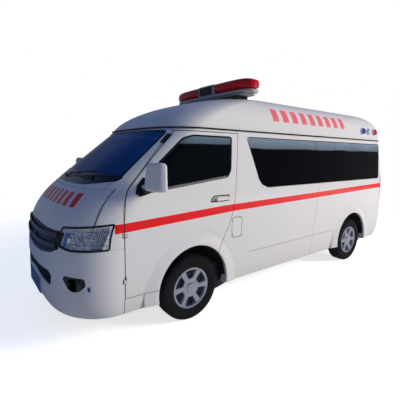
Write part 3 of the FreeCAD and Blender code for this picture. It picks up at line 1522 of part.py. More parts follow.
# Checks and files
doc.recompute()
for thing in doc.Objects:
    if any(word in str(thing.State) for word in ("Invalid", "Error")):
        raise RuntimeError(f"{thing.Label} failed: {thing.State}")
for label, thing in PARTS.items():
    if thing.Shape.isNull() or not thing.Shape.isValid():
        raise RuntimeError(f"{label} has no valid shape")
os.makedirs("parts", exist_ok=True)
for label, thing in PARTS.items():
    thing.Shape.exportStep(f"parts/{label}.step")
    box = thing.Shape.BoundBox
    print(f"{label}: {len(thing.Shape.Solids)} solids, {thing.Shape.Volume / 1e6:.2f} l, "
          f"x {box.XMin:.0f} {box.XMax:.0f} y {box.YMin:.0f} {box.YMax:.0f} z {box.ZMin:.0f} {box.ZMax:.0f}")
print("parts", len(PARTS))
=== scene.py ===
# %% [markdown]
# # A high-roof ambulance van, dressed for its portrait
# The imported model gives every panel, wheel and hinge at its real size. This lesson adds what the
# eye looks for next: lamps with bowls in them, tread, seals, wipers, seats and paint.
# Each step says what the piece is, how else it could be made, and why this way was taken.

import math

import bpy
import numpy as np
from mathutils import Matrix, Vector


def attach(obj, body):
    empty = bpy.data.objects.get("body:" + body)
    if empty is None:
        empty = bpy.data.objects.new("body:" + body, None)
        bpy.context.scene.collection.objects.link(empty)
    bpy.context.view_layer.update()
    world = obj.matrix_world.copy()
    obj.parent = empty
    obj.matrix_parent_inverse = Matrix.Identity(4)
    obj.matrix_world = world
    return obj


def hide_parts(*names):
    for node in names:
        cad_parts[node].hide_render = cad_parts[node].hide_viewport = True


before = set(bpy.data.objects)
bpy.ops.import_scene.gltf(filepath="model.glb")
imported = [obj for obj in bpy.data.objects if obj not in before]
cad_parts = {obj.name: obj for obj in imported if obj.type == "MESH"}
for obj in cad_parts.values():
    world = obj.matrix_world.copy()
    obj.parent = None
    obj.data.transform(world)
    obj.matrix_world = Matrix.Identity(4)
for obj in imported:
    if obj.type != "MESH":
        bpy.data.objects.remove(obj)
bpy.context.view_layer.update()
scene = bpy.context.scene

# %% [markdown]
# ## The body as a formula
# Lamps, seals and strips have to lie on a body that curves both ways. They could be dropped onto
# the panels by ray casting, but the body was drawn from a short table: at 13 heights it says where
# the nose and tail are and how wide the van is. Repeating that table gives the skin anywhere.

# %% The table of levels, and a smooth run through it
GUTTER = 1.915
NOSE, TAIL, FRONT_AXLE, REAR_AXLE = -2.740, 2.740, -1.490, 1.620
FRONT_OVERHANG, REAR_OVERHANG, HALF_WIDTH, TAIL_DEPTH = 1.250, 1.120, 0.908, 0.180
WHEELBASE = REAR_AXLE - FRONT_AXLE
SIDES, AXLES = (("left", -1), ("right", 1)), (("front", FRONT_AXLE), ("rear", REAR_AXLE))
NOSE_POWER, TAIL_POWER, WRAP_SCALE = 3.2, 3.5, 0.55
# Height of the gutter height, nose and nose rounding of the front overhang, half width, tail
LEVELS = np.array([
    (0.1462, 0.0400, 0.9637, 0.368, 0.0893), (0.1775, 0.0160, 0.9802, 0.376, 0.0536),
    (0.2611, 0.0000, 0.9956, 0.384, 0.0134), (0.3655, 0.0000, 1.0000, 0.384, 0.0000),
    (0.4439, 0.0104, 1.0000, 0.386, 0.0000), (0.5222, 0.0360, 0.9983, 0.392, 0.0000),
    (0.5744, 0.0680, 0.9967, 0.400, 0.0000), (0.6266, 0.1200, 0.9923, 0.400, 0.0010),
    (0.6789, 0.1920, 0.9857, 0.400, 0.0045), (0.7206, 0.2640, 0.9790, 0.400, 0.0134),
    (0.7833, 0.3800, 0.9697, 0.388, 0.0286), (0.8877, 0.5800, 0.9526, 0.352, 0.0580),
    (1.0000, 0.8000, 0.9306, 0.304, 0.0982),
])


def spline(places, values, at):
    """A cubic run through points: its bends come from one linear system, and are none at the ends."""
    gap = np.diff(places)
    count = len(places)
    system = np.eye(count)
    right = np.zeros(count)
    inner = np.arange(1, count - 1)
    system[inner, inner - 1] = gap[:-1]
    system[inner, inner] = 2 * (gap[:-1] + gap[1:])
    system[inner, inner + 1] = gap[1:]
    right[inner] = 6 * np.diff(np.diff(values) / gap)
    bend = np.linalg.solve(system, right)
    at = np.asarray(at, dtype=float)
    left = np.clip(np.searchsorted(places, at) - 1, 0, count - 2)
    before, after, width = at - places[left], places[left + 1] - at, gap[left]
    curve = (bend[left] * after ** 3 + bend[left + 1] * before ** 3) / (6 * width)
    curve += (values[left] / width - bend[left] * width / 6) * after
    return curve + (values[left + 1] / width - bend[left + 1] * width / 6) * before


def level(column, z):
    """One column of the table at any height."""
    return spline(LEVELS[:, 0], LEVELS[:, column], np.asarray(z) / GUTTER)


def nose_x(y, z):
    """The skin from the front: it falls back from the nose line with the half width's 3.2 power."""
    share = np.clip(np.abs(y) / (level(2, z) * HALF_WIDTH), 0, 1)
    fall = 1 - np.sqrt(1 - share ** NOSE_POWER)
    return NOSE + FRONT_OVERHANG * (level(1, z) + level(3, z) * fall)


def tail_x(y, z):
    """The skin from behind: the same rounding with the 3.5 power, as deep as the tail's corner."""
    share = np.clip(np.abs(y) / (level(2, z) * HALF_WIDTH), 0, 1)
    return TAIL - REAR_OVERHANG * level(4, z) - TAIL_DEPTH * (1 - np.sqrt(1 - share ** TAIL_POWER))


def side_y(x, z):
    """Half the width of the skin: the nose's and the tail's roundings, turned round."""
    x = np.asarray(x, dtype=float)
    back = (x - NOSE - FRONT_OVERHANG * level(1, z)) / (FRONT_OVERHANG * level(3, z))
    front = (1 - np.clip(1 - back, 0, 1) ** 2) ** (1 / NOSE_POWER)
    tail = (TAIL - REAR_OVERHANG * level(4, z) - x) / TAIL_DEPTH
    rear = (1 - np.clip(1 - tail, 0, 1) ** 2) ** (1 / TAIL_POWER)
    return level(2, z) * HALF_WIDTH * front * rear


def on_front(a, b, lift):
    """A place in the front view, lifted off the nose."""
    return np.stack([nose_x(a, b) - lift, a + 0 * b, b + 0 * a], axis=-1)


def on_back(a, b, lift):
    """A place in the rear view, lifted off the tail."""
    return np.stack([tail_x(a, b) + lift, a + 0 * b, b + 0 * a], axis=-1)


def on_side(hand):
    """A place in the side view, lifted off the left (-1) or right (1) side."""
    return lambda a, b, lift: np.stack([a + 0 * b, hand * (side_y(a, b) + lift), b + 0 * a], axis=-1)


def on_wrap(hand):
    """A place by its way round the nose's corner: the angle of the rounding times 0.55, which is
    near the length along the skin. The lift is square to the skin in the plan."""
    power = 2 / NOSE_POWER

    def place(a, b, lift):
        angle = np.asarray(a) / WRAP_SCALE
        width, deep = level(2, b) * HALF_WIDTH, FRONT_OVERHANG * level(3, b)
        x = NOSE + FRONT_OVERHANG * level(1, b) + deep * (1 - np.cos(angle))
        along_y = width * power * np.sin(angle) ** (power - 1) * np.cos(angle)
        along_x = deep * np.sin(angle)
        size = np.hypot(along_x, along_y)
        y = width * np.sin(angle) ** power + lift * along_x / size
        return np.stack([x - lift * along_y / size, hand * y, b + 0 * x], axis=-1)
    return place


def wrapped(corners):
    """Front-view corners turned into places round the corner of the nose."""
    here = np.asarray(corners, dtype=float)
    share = here[:, 0] / (level(2, here[:, 1]) * HALF_WIDTH)
    return np.stack([WRAP_SCALE * np.arcsin(share ** (NOSE_POWER / 2)), here[:, 1]], axis=1)


print("nose at bumper height", float(nose_x(0, 0.7)), "half width at the door", float(side_y(-1.5, 1.0)))

# %% [markdown]
# ## Outlines
# A lamp or a window is drawn as a few corners in the front or the side view. Rounding the corners
# could be left to a Bevel modifier, but an outline that is round from the start can be moved
# inwards again and again, and every ring of it still fits the next.

# %% Outline helpers
def box(left, low, right, high):
    """The corners of a rectangle."""
    return [(left, low), (right, low), (right, high), (left, high)]


def rounded(corners, radius, steps=7):
    """Corners turned into arcs: each arc blends start, corner and end by squares."""
    here = np.asarray(corners, dtype=float)
    back, ahead = np.roll(here, 1, axis=0) - here, np.roll(here, -1, axis=0) - here
    back_length = np.linalg.norm(back, axis=1, keepdims=True)
    ahead_length = np.linalg.norm(ahead, axis=1, keepdims=True)
    reach = np.minimum(radius, 0.45 * np.minimum(back_length, ahead_length))
    start, end = here + back / back_length * reach, here + ahead / ahead_length * reach
    t = np.linspace(0, 1, steps)[None, :, None]
    arc = (1 - t) ** 2 * start[:, None] + 2 * t * (1 - t) * here[:, None] + t ** 2 * end[:, None]
    return arc.reshape(-1, 2)


def evened(outline, count):
    """The same closed outline with points at even distances."""
    loop = np.concatenate([outline, outline[:1]])
    run = np.concatenate([[0], np.cumsum(np.linalg.norm(np.diff(loop, axis=0), axis=1))])
    at = np.linspace(0, run[-1], count, endpoint=False)
    return np.stack([np.interp(at, run, loop[:, i]) for i in range(2)], axis=1)


def traced(corners, radius, count=80):
    """Rounded corners with points at even distances."""
    return evened(rounded(corners, radius), count)


def moved(outline, inward):
    """The outline with each point moved square to its neighbours' line, inwards."""
    along = np.roll(outline, -1, axis=0) - np.roll(outline, 1, axis=0)
    along /= np.linalg.norm(along, axis=1, keepdims=True)
    area = np.sum(outline[:, 0] * np.roll(outline[:, 1], -1) - outline[:, 1] * np.roll(outline[:, 0], -1))
    square = np.stack([-along[:, 1], along[:, 0]], axis=1) * np.sign(area)
    return outline + square * inward


def mirrored(corners):
    """A left half and its mirror image, as one closed run of corners."""
    half = np.asarray(corners, dtype=float)
    twin = half[::-1] * (-1, 1)
    return np.concatenate([half, twin[np.abs(twin[:, 0]) > 1e-6]])


# %% [markdown]
# ## Numbers into meshes
# Every new piece is a grid of points worked out at once. A stack of rings gets a fan at each end,
# a strip is a loop in both directions, and a section carried along a path makes arms and rails.
# A negative volume means that the faces look inwards, and then they are turned round.

# %% Mesh helpers
def grid_faces(rows, columns, wrap_rows):
    """Four-cornered faces between the points of a grid that is closed across its rows."""
    row = np.arange(rows if wrap_rows else rows - 1)[:, None]
    column = np.arange(columns)[None, :]
    after, beside = (row + 1) % rows, (column + 1) % columns
    corners = (row * columns + column, row * columns + beside, after * columns + beside,
               after * columns + column)
    return np.stack([corner.ravel() for corner in corners], axis=1)


def facing_out(points, groups):
    """Turns the faces round if the volume that they close is negative."""
    volume = 0.0
    for faces in groups:
        for second in range(1, faces.shape[1] - 1):
            a, b, c = points[faces[:, 0]], points[faces[:, second]], points[faces[:, second + 1]]
            volume += np.einsum("ij,ij->", a, np.cross(b, c))
    return points, groups if volume > 0 else [faces[:, ::-1] for faces in groups]


def stack(rings):
    """A form through rings, closed by a fan at each end."""
    rings = np.asarray(rings)
    rows, columns = rings.shape[:2]
    points = np.concatenate([rings.reshape(-1, 3), rings[:1].mean(axis=1), rings[-1:].mean(axis=1)])
    here = np.arange(columns)
    beside = (here + 1) % columns
    first, last = np.full(columns, rows * columns), np.full(columns, rows * columns + 1)
    top = (rows - 1) * columns
    return facing_out(points, [grid_faces(rows, columns, False),
                               np.stack([first, beside, here], axis=1),
                               np.stack([top + here, top + beside, last], axis=1)])


def loop(rings):
    """A form whose rings close on themselves, and whose last ring meets the first."""
    rings = np.asarray(rings)
    return facing_out(rings.reshape(-1, 3), [grid_faces(rings.shape[0], rings.shape[1], True)])


# Finishes that are made of the same thing as the record's material of another name
SLOTS = {finish: slot for slot, finishes in (
    ("black_plastic", "gloss_black seal_rubber bar_shade lamp_dark liner_black"),
    ("chromed", "chrome mirror_face lamp_grey lamp_silver blue_silver"),
    ("trim_grey", "belt_rubber plate_blue bar_grey cabinet_white cap_blue"),
    ("white_paint", "white_plain plate_white"), ("lamp_lens", "clear_lens ribbed_lens bulb_glass"),
    ("seat_cloth", "bench_vinyl"), ("mattress_blue", "mattress_vinyl"),
    ("rim_silver", "silver_wheel"), ("cast", "painted_window_shade")) for finish in finishes.split()}


def piece(name, forms, finish, body="van_body", replaces=(), slot=None, sharp=35):
    """Forms joined into one mesh, smooth up to an angle, riding on a body."""
    points, faces, total = [], [], 0
    for places, groups in forms:
        points.append(places)
        faces += [row for group in groups for row in (group + total).tolist()]
        total += len(places)
    mesh = bpy.data.meshes.new(name)
    mesh.from_pydata(np.concatenate(points).tolist(), [], faces)
    mesh.materials.append(finish)
    mesh.shade_smooth()
    mesh.set_sharp_from_angle(angle=math.radians(sharp))
    made = bpy.data.objects.new(name, mesh)
    scene.collection.objects.link(made)
    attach(made, body)
    kind = finish.name.split(".")[0]
    slot or SLOTS.get(kind, kind)
    if replaces:
        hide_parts(*replaces)
    print(name, len(faces), "faces")
    return made


def plate(outline, place, top, bottom, edge=0.002, rings=4):
    """A plate that lies on the skin: rounded at its rim, shrinking to its middle on both faces."""
    middle = outline.mean(axis=0)
    inside = moved(outline, edge)
    face = [middle + (inside - middle) * share for share in np.linspace(0.04, 1, rings)]
    flat = [place(ring[:, 0], ring[:, 1], top) for ring in face]
    flat += [place(outline[:, 0], outline[:, 1], lift) for lift in (top - edge, bottom)]
    flat += [place(ring[:, 0], ring[:, 1], bottom) for ring in face[::-1]]
    return stack(flat)


def strip(outline, place, section):
    """A strip that follows an outline: its section is a loop of (inward, lift) places."""
    rings = []
    for inward, lift in section:
        ring = moved(outline, inward)
        rings.append(place(ring[:, 0], ring[:, 1], lift))
    return loop(rings)


def carried(path, section, up):
    """A section carried along a path: across the path it lies square to the path and to up."""
    path = np.asarray(path, dtype=float)
    along = np.gradient(path, axis=0)
    along /= np.linalg.norm(along, axis=1, keepdims=True)
    side = np.cross(along, np.broadcast_to(np.asarray(up, dtype=float), path.shape))
    side /= np.linalg.norm(side, axis=1, keepdims=True)
    rise = np.cross(side, along)
    section = np.asarray(section, dtype=float)
    if section.ndim == 2:
        section = np.broadcast_to(section, (len(path),) + section.shape)
    return stack(path[:, None] + side[:, None] * section[..., :1] + rise[:, None] * section[..., 1:])


def spun(middle, axis, profile, count):
    """Rings about an axis, one for each (radius, distance along the axis) of a profile."""
    axis = np.asarray(axis, dtype=float) / np.linalg.norm(axis)
    aside = np.cross(axis, (0.0, 0.3, 1.0))
    aside /= np.linalg.norm(aside)
    other = np.cross(axis, aside)
    turn = np.linspace(0, 2 * np.pi, count, endpoint=False)[None, :, None]
    radius, along = (np.asarray(profile, dtype=float)[:, i][:, None, None] for i in range(2))
    return np.asarray(middle) + axis * along + radius * (np.cos(turn) * aside + np.sin(turn) * other)


def dish(middle, axis, profile, count=48):
    """A turned form, closed at both ends of its profile."""
    return stack(spun(middle, axis, profile, count))


def slab(low, high, edge, count=10):
    """A box with round edges: a circle raised to a high power, drawn in at both ends."""
    low, high = np.asarray(low, dtype=float), np.asarray(high, dtype=float)
    middle, half = (low + high) / 2, (high - low) / 2
    outline = rounded(box(-half[0], -half[1], half[0], half[1]), edge * 1.6, count)
    lean = np.linspace(0, np.pi / 2, 5)
    rings = []
    for inset, rise in [(edge * (1 - math.sin(t)), -half[2] + edge * (1 - math.cos(t))) for t in lean] + [
            (edge * (1 - math.sin(t)), half[2] - edge * (1 - math.cos(t))) for t in lean[::-1]]:
        ring = moved(outline, inset)
        rings.append(np.column_stack([ring, np.full(len(ring), rise)]) + middle)
    return stack(rings)


ROUND = np.stack([np.cos(np.linspace(0, 2 * np.pi, 12, endpoint=False)),
                  np.sin(np.linspace(0, 2 * np.pi, 12, endpoint=False))], axis=1)


# %% [markdown]
# ## Shader maths as Python
# A pattern is a sum: how far a point is from a line, how strong the noise is there. Placing Math
# nodes by hand hides that, so a small class wraps one value of a material, and its operators add
# the nodes. Any other node comes from one method.

# %% The wire class
class Wire:
    """One value in a material's tree. Operators on wires add the Math nodes that work them out."""

    def __init__(self, tree, socket=None):
        self.tree, self.socket = tree, socket

    def node(self, kind, settings, inputs, output=0):
        """A node of any type: its settings first, then the values or links of its sockets."""
        made = self.tree.nodes.new(kind)
        for key, value in settings.items():
            setattr(made, key, value)
        for key, value in inputs.items():
            if isinstance(value, Wire):
                self.tree.links.new(value.socket, made.inputs[key])
            else:
                made.inputs[key].default_value = value
        return Wire(self.tree, made.outputs[output])

    def math(self, operation, *values, clamp=False):
        """This value and others through one Math node."""
        return self.node("ShaderNodeMath", {"operation": operation, "use_clamp": clamp},
                         dict(enumerate((self, *values))))

    def __add__(self, other):
        return self.math("ADD", other)

    def __sub__(self, other):
        return self.math("SUBTRACT", other)

    def __rsub__(self, other):
        return self.math("MULTIPLY_ADD", -1.0, other)

    def __mul__(self, other):
        return self.math("MULTIPLY", other)

    def __truediv__(self, other):
        return self.math("DIVIDE", other)

    def __abs__(self):
        return self.math("ABSOLUTE")

    def clamped(self):
        return self.math("ADD", 0.0, clamp=True)

    def least(self, other):
        return self.math("MINIMUM", other)

    def fraction(self):
        return self.math("FRACT")

    def within(self, low, high, soft=0.002):
        """One between two limits and none outside them."""
        return ((self - low) / soft).clamped() * ((high - self) / soft).clamped()

    def over(self, base, colour):
        """A colour laid over another one where this wire, as a mask, is one."""
        return self.node("ShaderNodeMix", {"data_type": "RGBA"}, {0: self, 6: base, 7: colour}, 2)


def ink(red, green, blue):
    """A colour as a screen shows it, turned into light: the 2.2 power, near enough."""
    return tuple(value ** 2.2 for value in (red, green, blue)) + (1.0,)


class Finish(Wire):
    """A material that is being made, with the places that its patterns read."""

    def __init__(self, name):
        self.material = bpy.data.materials.new(name)
        self.material.use_nodes = True
        super().__init__(self.material.node_tree)
        self.tree.nodes.clear()
        place = self.node("ShaderNodeTexCoord", {}, {}, "Object")
        self.place = place
        self.x, self.y, self.z = (self.node("ShaderNodeSeparateXYZ", {}, {0: place}, i) for i in range(3))

    def noise(self, scale, detail=2.0, roughness=0.5):
        sockets = {"Vector": self.place, "Scale": scale, "Detail": detail, "Roughness": roughness}
        return self.node("ShaderNodeTexNoise", {}, sockets)

    def bump(self, height, strength, distance):
        sockets = {"Height": height, "Strength": strength, "Distance": distance}
        return self.node("ShaderNodeBump", {}, sockets)

    def close(self, **sockets):
        """The Principled shader, and the end of the tree."""
        named = {key.replace("_", " "): value for key, value in sockets.items()}
        return self.ended(self.node("ShaderNodeBsdfPrincipled", {}, named))

    def ended(self, shader):
        end = self.tree.nodes.new("ShaderNodeOutputMaterial")
        self.tree.links.new(shader.socket, end.inputs["Surface"])
        return self.material


# %% [markdown]
# ## Paint
# The van is warm white with a red stripe that climbs towards the tail. The stripe could be a thin
# piece of its own, but tape has no thickness to speak of, so it is colour in the paint: its two
# edges are straight lines that bend once at the door. A little road dust lies near the ground.

# %% Paint finishes
WHITE = ink(0.865, 0.855, 0.838)
DUST = ink(0.74, 0.73, 0.67)
RED = ink(0.92, 0.015, 0.015)
PALE_RED = ink(0.93, 0.44, 0.46)
# Dark grey for the joints between panels, and painted shade in the low crease and behind the wheel arches
GAP_AND_SHADE = ink(0.30, 0.29, 0.28)
DUST_TOP, DUST_FADE = 0.62, 0.45
# The stripe's slope and a place on its lower edge (x, z), up to the door's rear edge and behind it
STRIPE_AHEAD, STRIPE_BEHIND, STRIPE_START = (0.0464, -2.19, 1.01), (0.0172, -0.94, 1.068), -2.285


def stripe(finish):
    """Between two edges that slope up to the door's rear edge and less behind it."""
    ahead, behind = (finish.x * slope + (z - slope * x) for slope, x, z in (STRIPE_AHEAD, STRIPE_BEHIND))
    low, high = ahead.least(behind), (ahead + 0.079).least(behind + 0.0745)
    tall = ((finish.z - low) / 0.0015).clamped() * ((high - finish.z) / 0.0015).clamped()
    return tall * ((finish.x - STRIPE_START) / 0.002).clamped()


def blocks(along, rise, start, end, pitch, slant, height):
    """A row of plain bars: the fraction of the run along it, leaning by the rise."""
    bars = ((along - start + rise * slant) / pitch).fraction().within(0.02, 0.64, 0.03)
    return bars * along.within(start, end, 0.004) * rise.within(-height / 2, height / 2, 0.003)


def paint(name, marks=(), grooves=()):
    """Body paint with red marks and painted shade lines over it, thin grooves pressed in it and darkened, as
    joints or as painted shade, and dust near the road.
    """
    finish = Finish(name)
    dusty = ((DUST_TOP - finish.z) / DUST_FADE).clamped() * (finish.noise(2.5, 3.0) * 0.30 + 0.14)
    base = dusty.over(WHITE, DUST)
    for mark, colour in marks:
        base = mark(finish).over(base, colour)
    height = finish.noise(900.0, 1.0) * 0.02
    for groove in grooves:
        line = groove(finish)
        # Each groove is darkened: a joint's own dark, or painted shade in the low crease
        base = (line * 0.9).over(base, GAP_AND_SHADE)
        height = height - line
    return finish.close(Base_Color=base, Roughness=0.35, Coat_Weight=0.3, Coat_Roughness=0.06,
                        Specular_IOR_Level=0.3, Normal=finish.bump(height, 0.35, 0.0015))


def groove(x_limits, z_limits):
    """A groove that fills a rectangle of the side view: each limit is low, high and softness."""
    return lambda finish: finish.z.within(*z_limits) * finish.x.within(*x_limits)


# Pressed low on the side, and ahead of the rear arch. The low crease's dark colour is painted shade.
crease = groove((-0.69, 1.11, 0.01), (0.567, 0.573, 0.001))
rear_line = groove((1.102, 1.108, 0.001), (0.30, 0.57, 0.004))
# Between the wing and the bumper, from the lamp to the door, and between the bumper and the sill
wing_joint = groove((-2.335, -2.205, 0.003), (0.8785, 0.8815, 0.001))
foot_joint = groove((-2.2125, -2.2040, 0.001), (0.20, 0.43, 0.003))


def joint_line(finish):
    """The upright joint that leans back as it rises."""
    at = finish.x - finish.z * 0.115 - (0.545 - 0.115 * 0.33)
    return at.within(-0.0028, 0.0028, 0.001) * finish.z.within(0.30, 1.27, 0.004)


FLARE_BACK, FLARE_HEIGHT, FLARE_RADIUS = 0.035, 0.396, 0.532


def painted_flare_shade(finish):
    """A soft line of painted shade behind each wheel arch, where the flare meets the side."""
    shade = 0.0
    for end, axle in AXLES:
        out = (finish.x - (axle + FLARE_BACK)) / FLARE_RADIUS
        up = (finish.z - FLARE_HEIGHT) / FLARE_RADIUS
        ring = (out * out + up * up).within(0.975, 1.005, 0.025)
        behind = ((out + 0.10) / 0.35).clamped() * ((up + 0.12) / 0.25).clamped()
        shade = ring * behind + shade
    return shade * 0.8


def roof_marks(finish):
    """Nine plain bars on the roof's side."""
    return blocks(finish.x, finish.z - 2.135, -0.30, 1.42, 0.191, 0.18, 0.15)


def bonnet_marks(finish):
    """Nine plain bars across the bonnet."""
    return blocks(finish.y, finish.z - 1.262, -0.585, 0.585, 0.130, -0.25, 0.115)


white_plain = paint("white_plain")
# The side paints carry a line of painted shade behind each wheel arch
white_side = paint("white_side", marks=[(painted_flare_shade, GAP_AND_SHADE), (stripe, RED)])
white_wing = paint("white_wing", marks=[(stripe, RED)], grooves=(wing_joint,))
white_bumper = paint("white_bumper", grooves=(wing_joint, foot_joint))
white_panel = paint("white_panel", marks=[(painted_flare_shade, GAP_AND_SHADE), (stripe, RED)],
                    grooves=(crease, joint_line, rear_line))
white_roof = paint("white_roof", marks=[(roof_marks, PALE_RED)])
white_bonnet = paint("white_bonnet", marks=[(bonnet_marks, RED)])


# %% [markdown]
# ## Glass, rubber, plastic, metal and cloth
# A few plain numbers make a finish: how rough it is, how it takes light, and what breaks it up.
# Each of these has its own small unevenness at the real size, from the grain of moulded plastic
# to the weave of a seat.

# %% Other finishes
def paler(colour, share, lift=0.0):
    """A colour with each part multiplied, and a little added."""
    return tuple(min(1.0, value * share + lift) for value in colour[:3]) + (1.0,)


def grained(name, colour, roughness, grain=0.25, scale=700.0, worn=0.12, marks=()):
    """Moulded plastic or rubber: fine leather grain and faint patches of wear."""
    finish = Finish(name)
    patch = finish.noise(9.0, 4.0)
    base = (patch * worn).over(colour, paler(colour, 1.7, 0.012))
    for mark, other in marks:
        base = mark(finish).over(base, other)
    return finish.close(Base_Color=base,
                        Roughness=patch * 0.12 + (roughness - 0.06), Specular_IOR_Level=0.4,
                        Normal=finish.bump(finish.noise(scale, 2.0), grain, 0.0006))


def beyond(axis, edge):
    """The part of a piece past a place along an axis."""
    return lambda finish: ((getattr(finish, axis) - edge) / 0.001).clamped()


def painted_facet_shade(finish):
    """Dark lines of painted shade for the creases between the facets of the lamp's inside: level, upright and
    slanting.
    """
    upright = ((finish.x * 21.0).fraction() - 0.5)
    slanting = (((finish.z + finish.x) * 17.0).fraction() - 0.5)
    level = ((finish.z * 19.0).fraction() - 0.5)
    return ((0.05 - abs(upright).least(abs(slanting)).least(abs(level))) / 0.03).clamped()


def outer_pads(finish):
    """The hinge pads that the floor node carries at the doors' front edge, in body colour."""
    return abs(finish.y).within(0.84, 1.0, 0.002)


def metal(name, colour, roughness, scale=60.0, amount=0.12):
    """Bare or silver-painted metal, with a soft unevenness in its shine."""
    finish = Finish(name)
    patch = finish.noise(scale, 3.0)
    return finish.close(Base_Color=(patch * 0.25).over(colour, paler(colour, 0.72)), Metallic=1.0,
                        Roughness=patch * amount + (roughness - amount / 2))


def painted_metal(name, colour, roughness):
    """Chassis paint with dust in it."""
    finish = Finish(name)
    patch = finish.noise(14.0, 5.0)
    base = (((patch - 0.45) * 2.4).clamped() * 0.35).over(colour, ink(0.33, 0.31, 0.28))
    return finish.close(Base_Color=base, Roughness=patch * 0.3 + (roughness - 0.1),
                        Normal=finish.bump(finish.noise(180.0, 3.0), 0.2, 0.001))


def pane(name, dark, pale, low, high, alpha):
    """Tinted glass: near black low down, with a painted sky reflection that makes it paler above a line,
    paler still higher up, and uneven in soft patches.
    """
    finish = Finish(name)
    reflection_strength = finish.noise(3.0, 2.0) * 0.3 + 0.35
    line = finish.noise(1.6, 1.0) * 0.04 + (low - 0.02)
    # The painted sky reflection: stronger higher up, and patchy
    above = ((finish.z - line) / 0.012).clamped() * (((finish.z - low) / (high - low)).clamped() * 0.5 + reflection_strength)
    return finish.close(Base_Color=above.over(dark, pale), Roughness=0.04,
                        IOR=1.14, Alpha=alpha)


def lens(name, colour, pitch=0.0, transmission=0.85, roughness=0.06):
    """Moulded lamp plastic: it passes its own colour, and ribs inside it catch the light."""
    finish = Finish(name)
    sockets = {"Base_Color": (finish.noise(25.0, 2.0) * 0.25).over(colour, paler(colour, 0.6)),
               "Roughness": roughness, "Transmission_Weight": transmission, "IOR": 1.49,
               "Coat_Weight": 0.15, "Coat_Roughness": 0.1, "Specular_IOR_Level": 0.3}
    if pitch:
        sockets["Normal"] = finish.bump(abs((finish.y / pitch).fraction() - 0.5), 0.6, 0.004)
    return finish.close(**sockets)


def cloth(name, colour, pitch=0.004):
    """Woven seat cloth: two sets of threads that cross, as the product of two waves."""
    finish = Finish(name)
    turn = math.tau / pitch
    weave = ((finish.x + finish.z) * turn).math("SINE") * ((finish.y + finish.z * 0.3) * turn).math("SINE")
    base = (weave * 0.25 + 0.25).over(colour, paler(colour, 0.45))
    base = (finish.noise(6.0, 3.0) * 0.2).over(base, ink(0.42, 0.43, 0.46))
    return finish.close(Base_Color=base, Roughness=0.85, Sheen_Weight=0.3,
                        Normal=finish.bump(weave, 0.3, 0.0008))


def vinyl(name, colour):
    """Coated mattress cover: smooth, with fine creases."""
    finish = Finish(name)
    fold = finish.noise(12.0, 6.0, 0.6)
    return finish.close(Base_Color=(fold * 0.35).over(colour, paler(colour, 0.6)),
                        Roughness=fold * 0.2 + 0.32, Normal=finish.bump(fold, 0.25, 0.004))


black_plastic = grained("black_plastic", ink(0.13, 0.13, 0.14), 0.42)
gloss_black = grained("gloss_black", ink(0.07, 0.07, 0.075), 0.14, grain=0.03)
seal_rubber = grained("seal_rubber", ink(0.11, 0.11, 0.115), 0.6)
belt_rubber = grained("belt_rubber", ink(0.42, 0.41, 0.40), 0.5)
tyre_rubber = grained("tyre_rubber", ink(0.100, 0.098, 0.096), 0.85, scale=260.0, worn=0.25)
trim_grey = grained("trim_grey", ink(0.50, 0.51, 0.52), 0.6)
floor_sheet = grained("floor_sheet", ink(0.45, 0.47, 0.48), 0.55, scale=120.0, marks=[(outer_pads, WHITE)])
roof_lens = grained("roof_lens", ink(0.10, 0.22, 0.62), 0.25, 0.05,
                    marks=[(beyond("x", 2.01), ink(0.82, 0.83, 0.85)),
                           (beyond("x", 2.21), ink(0.75, 0.05, 0.05))])
tail_lens = grained("tail_lens", ink(0.60, 0.61, 0.62), 0.22, 0.05,
                    marks=[(beyond("z", 1.03), ink(0.85, 0.42, 0.08)),
                           (beyond("z", 1.12), ink(0.62, 0.03, 0.03))])
# The lamp's inside carries dark lines of painted shade between its facets
lamp_grey = grained("lamp_grey", ink(0.86, 0.87, 0.88), 0.2, 0.1, 120.0, worn=0.3,
                    marks=[(painted_facet_shade, ink(0.20, 0.21, 0.24))])
plate_blue = grained("plate_blue", ink(0.13, 0.30, 0.50), 0.35, grain=0.05)
bar_grey = grained("bar_grey", ink(0.60, 0.62, 0.64), 0.4)
bar_shade = grained("bar_shade", ink(0.22, 0.23, 0.27), 0.35, grain=0.1)
cabinet_white = grained("cabinet_white", ink(0.78, 0.78, 0.76), 0.5)
plate_white = grained("plate_white", ink(0.82, 0.82, 0.80), 0.4, grain=0.05, worn=0.05)
mirror_face = metal("mirror_face", ink(0.78, 0.82, 0.86), 0.04, amount=0.03)
silver = metal("silver_wheel", ink(0.80, 0.80, 0.81), 0.34)
chrome = metal("chrome", ink(0.90, 0.91, 0.92), 0.10, amount=0.05)
steel = metal("bare_steel", ink(0.62, 0.61, 0.60), 0.42)
cast = painted_metal("cast_iron", ink(0.34, 0.33, 0.32), 0.7)
chassis_black = painted_metal("chassis_black", ink(0.12, 0.12, 0.12), 0.6)
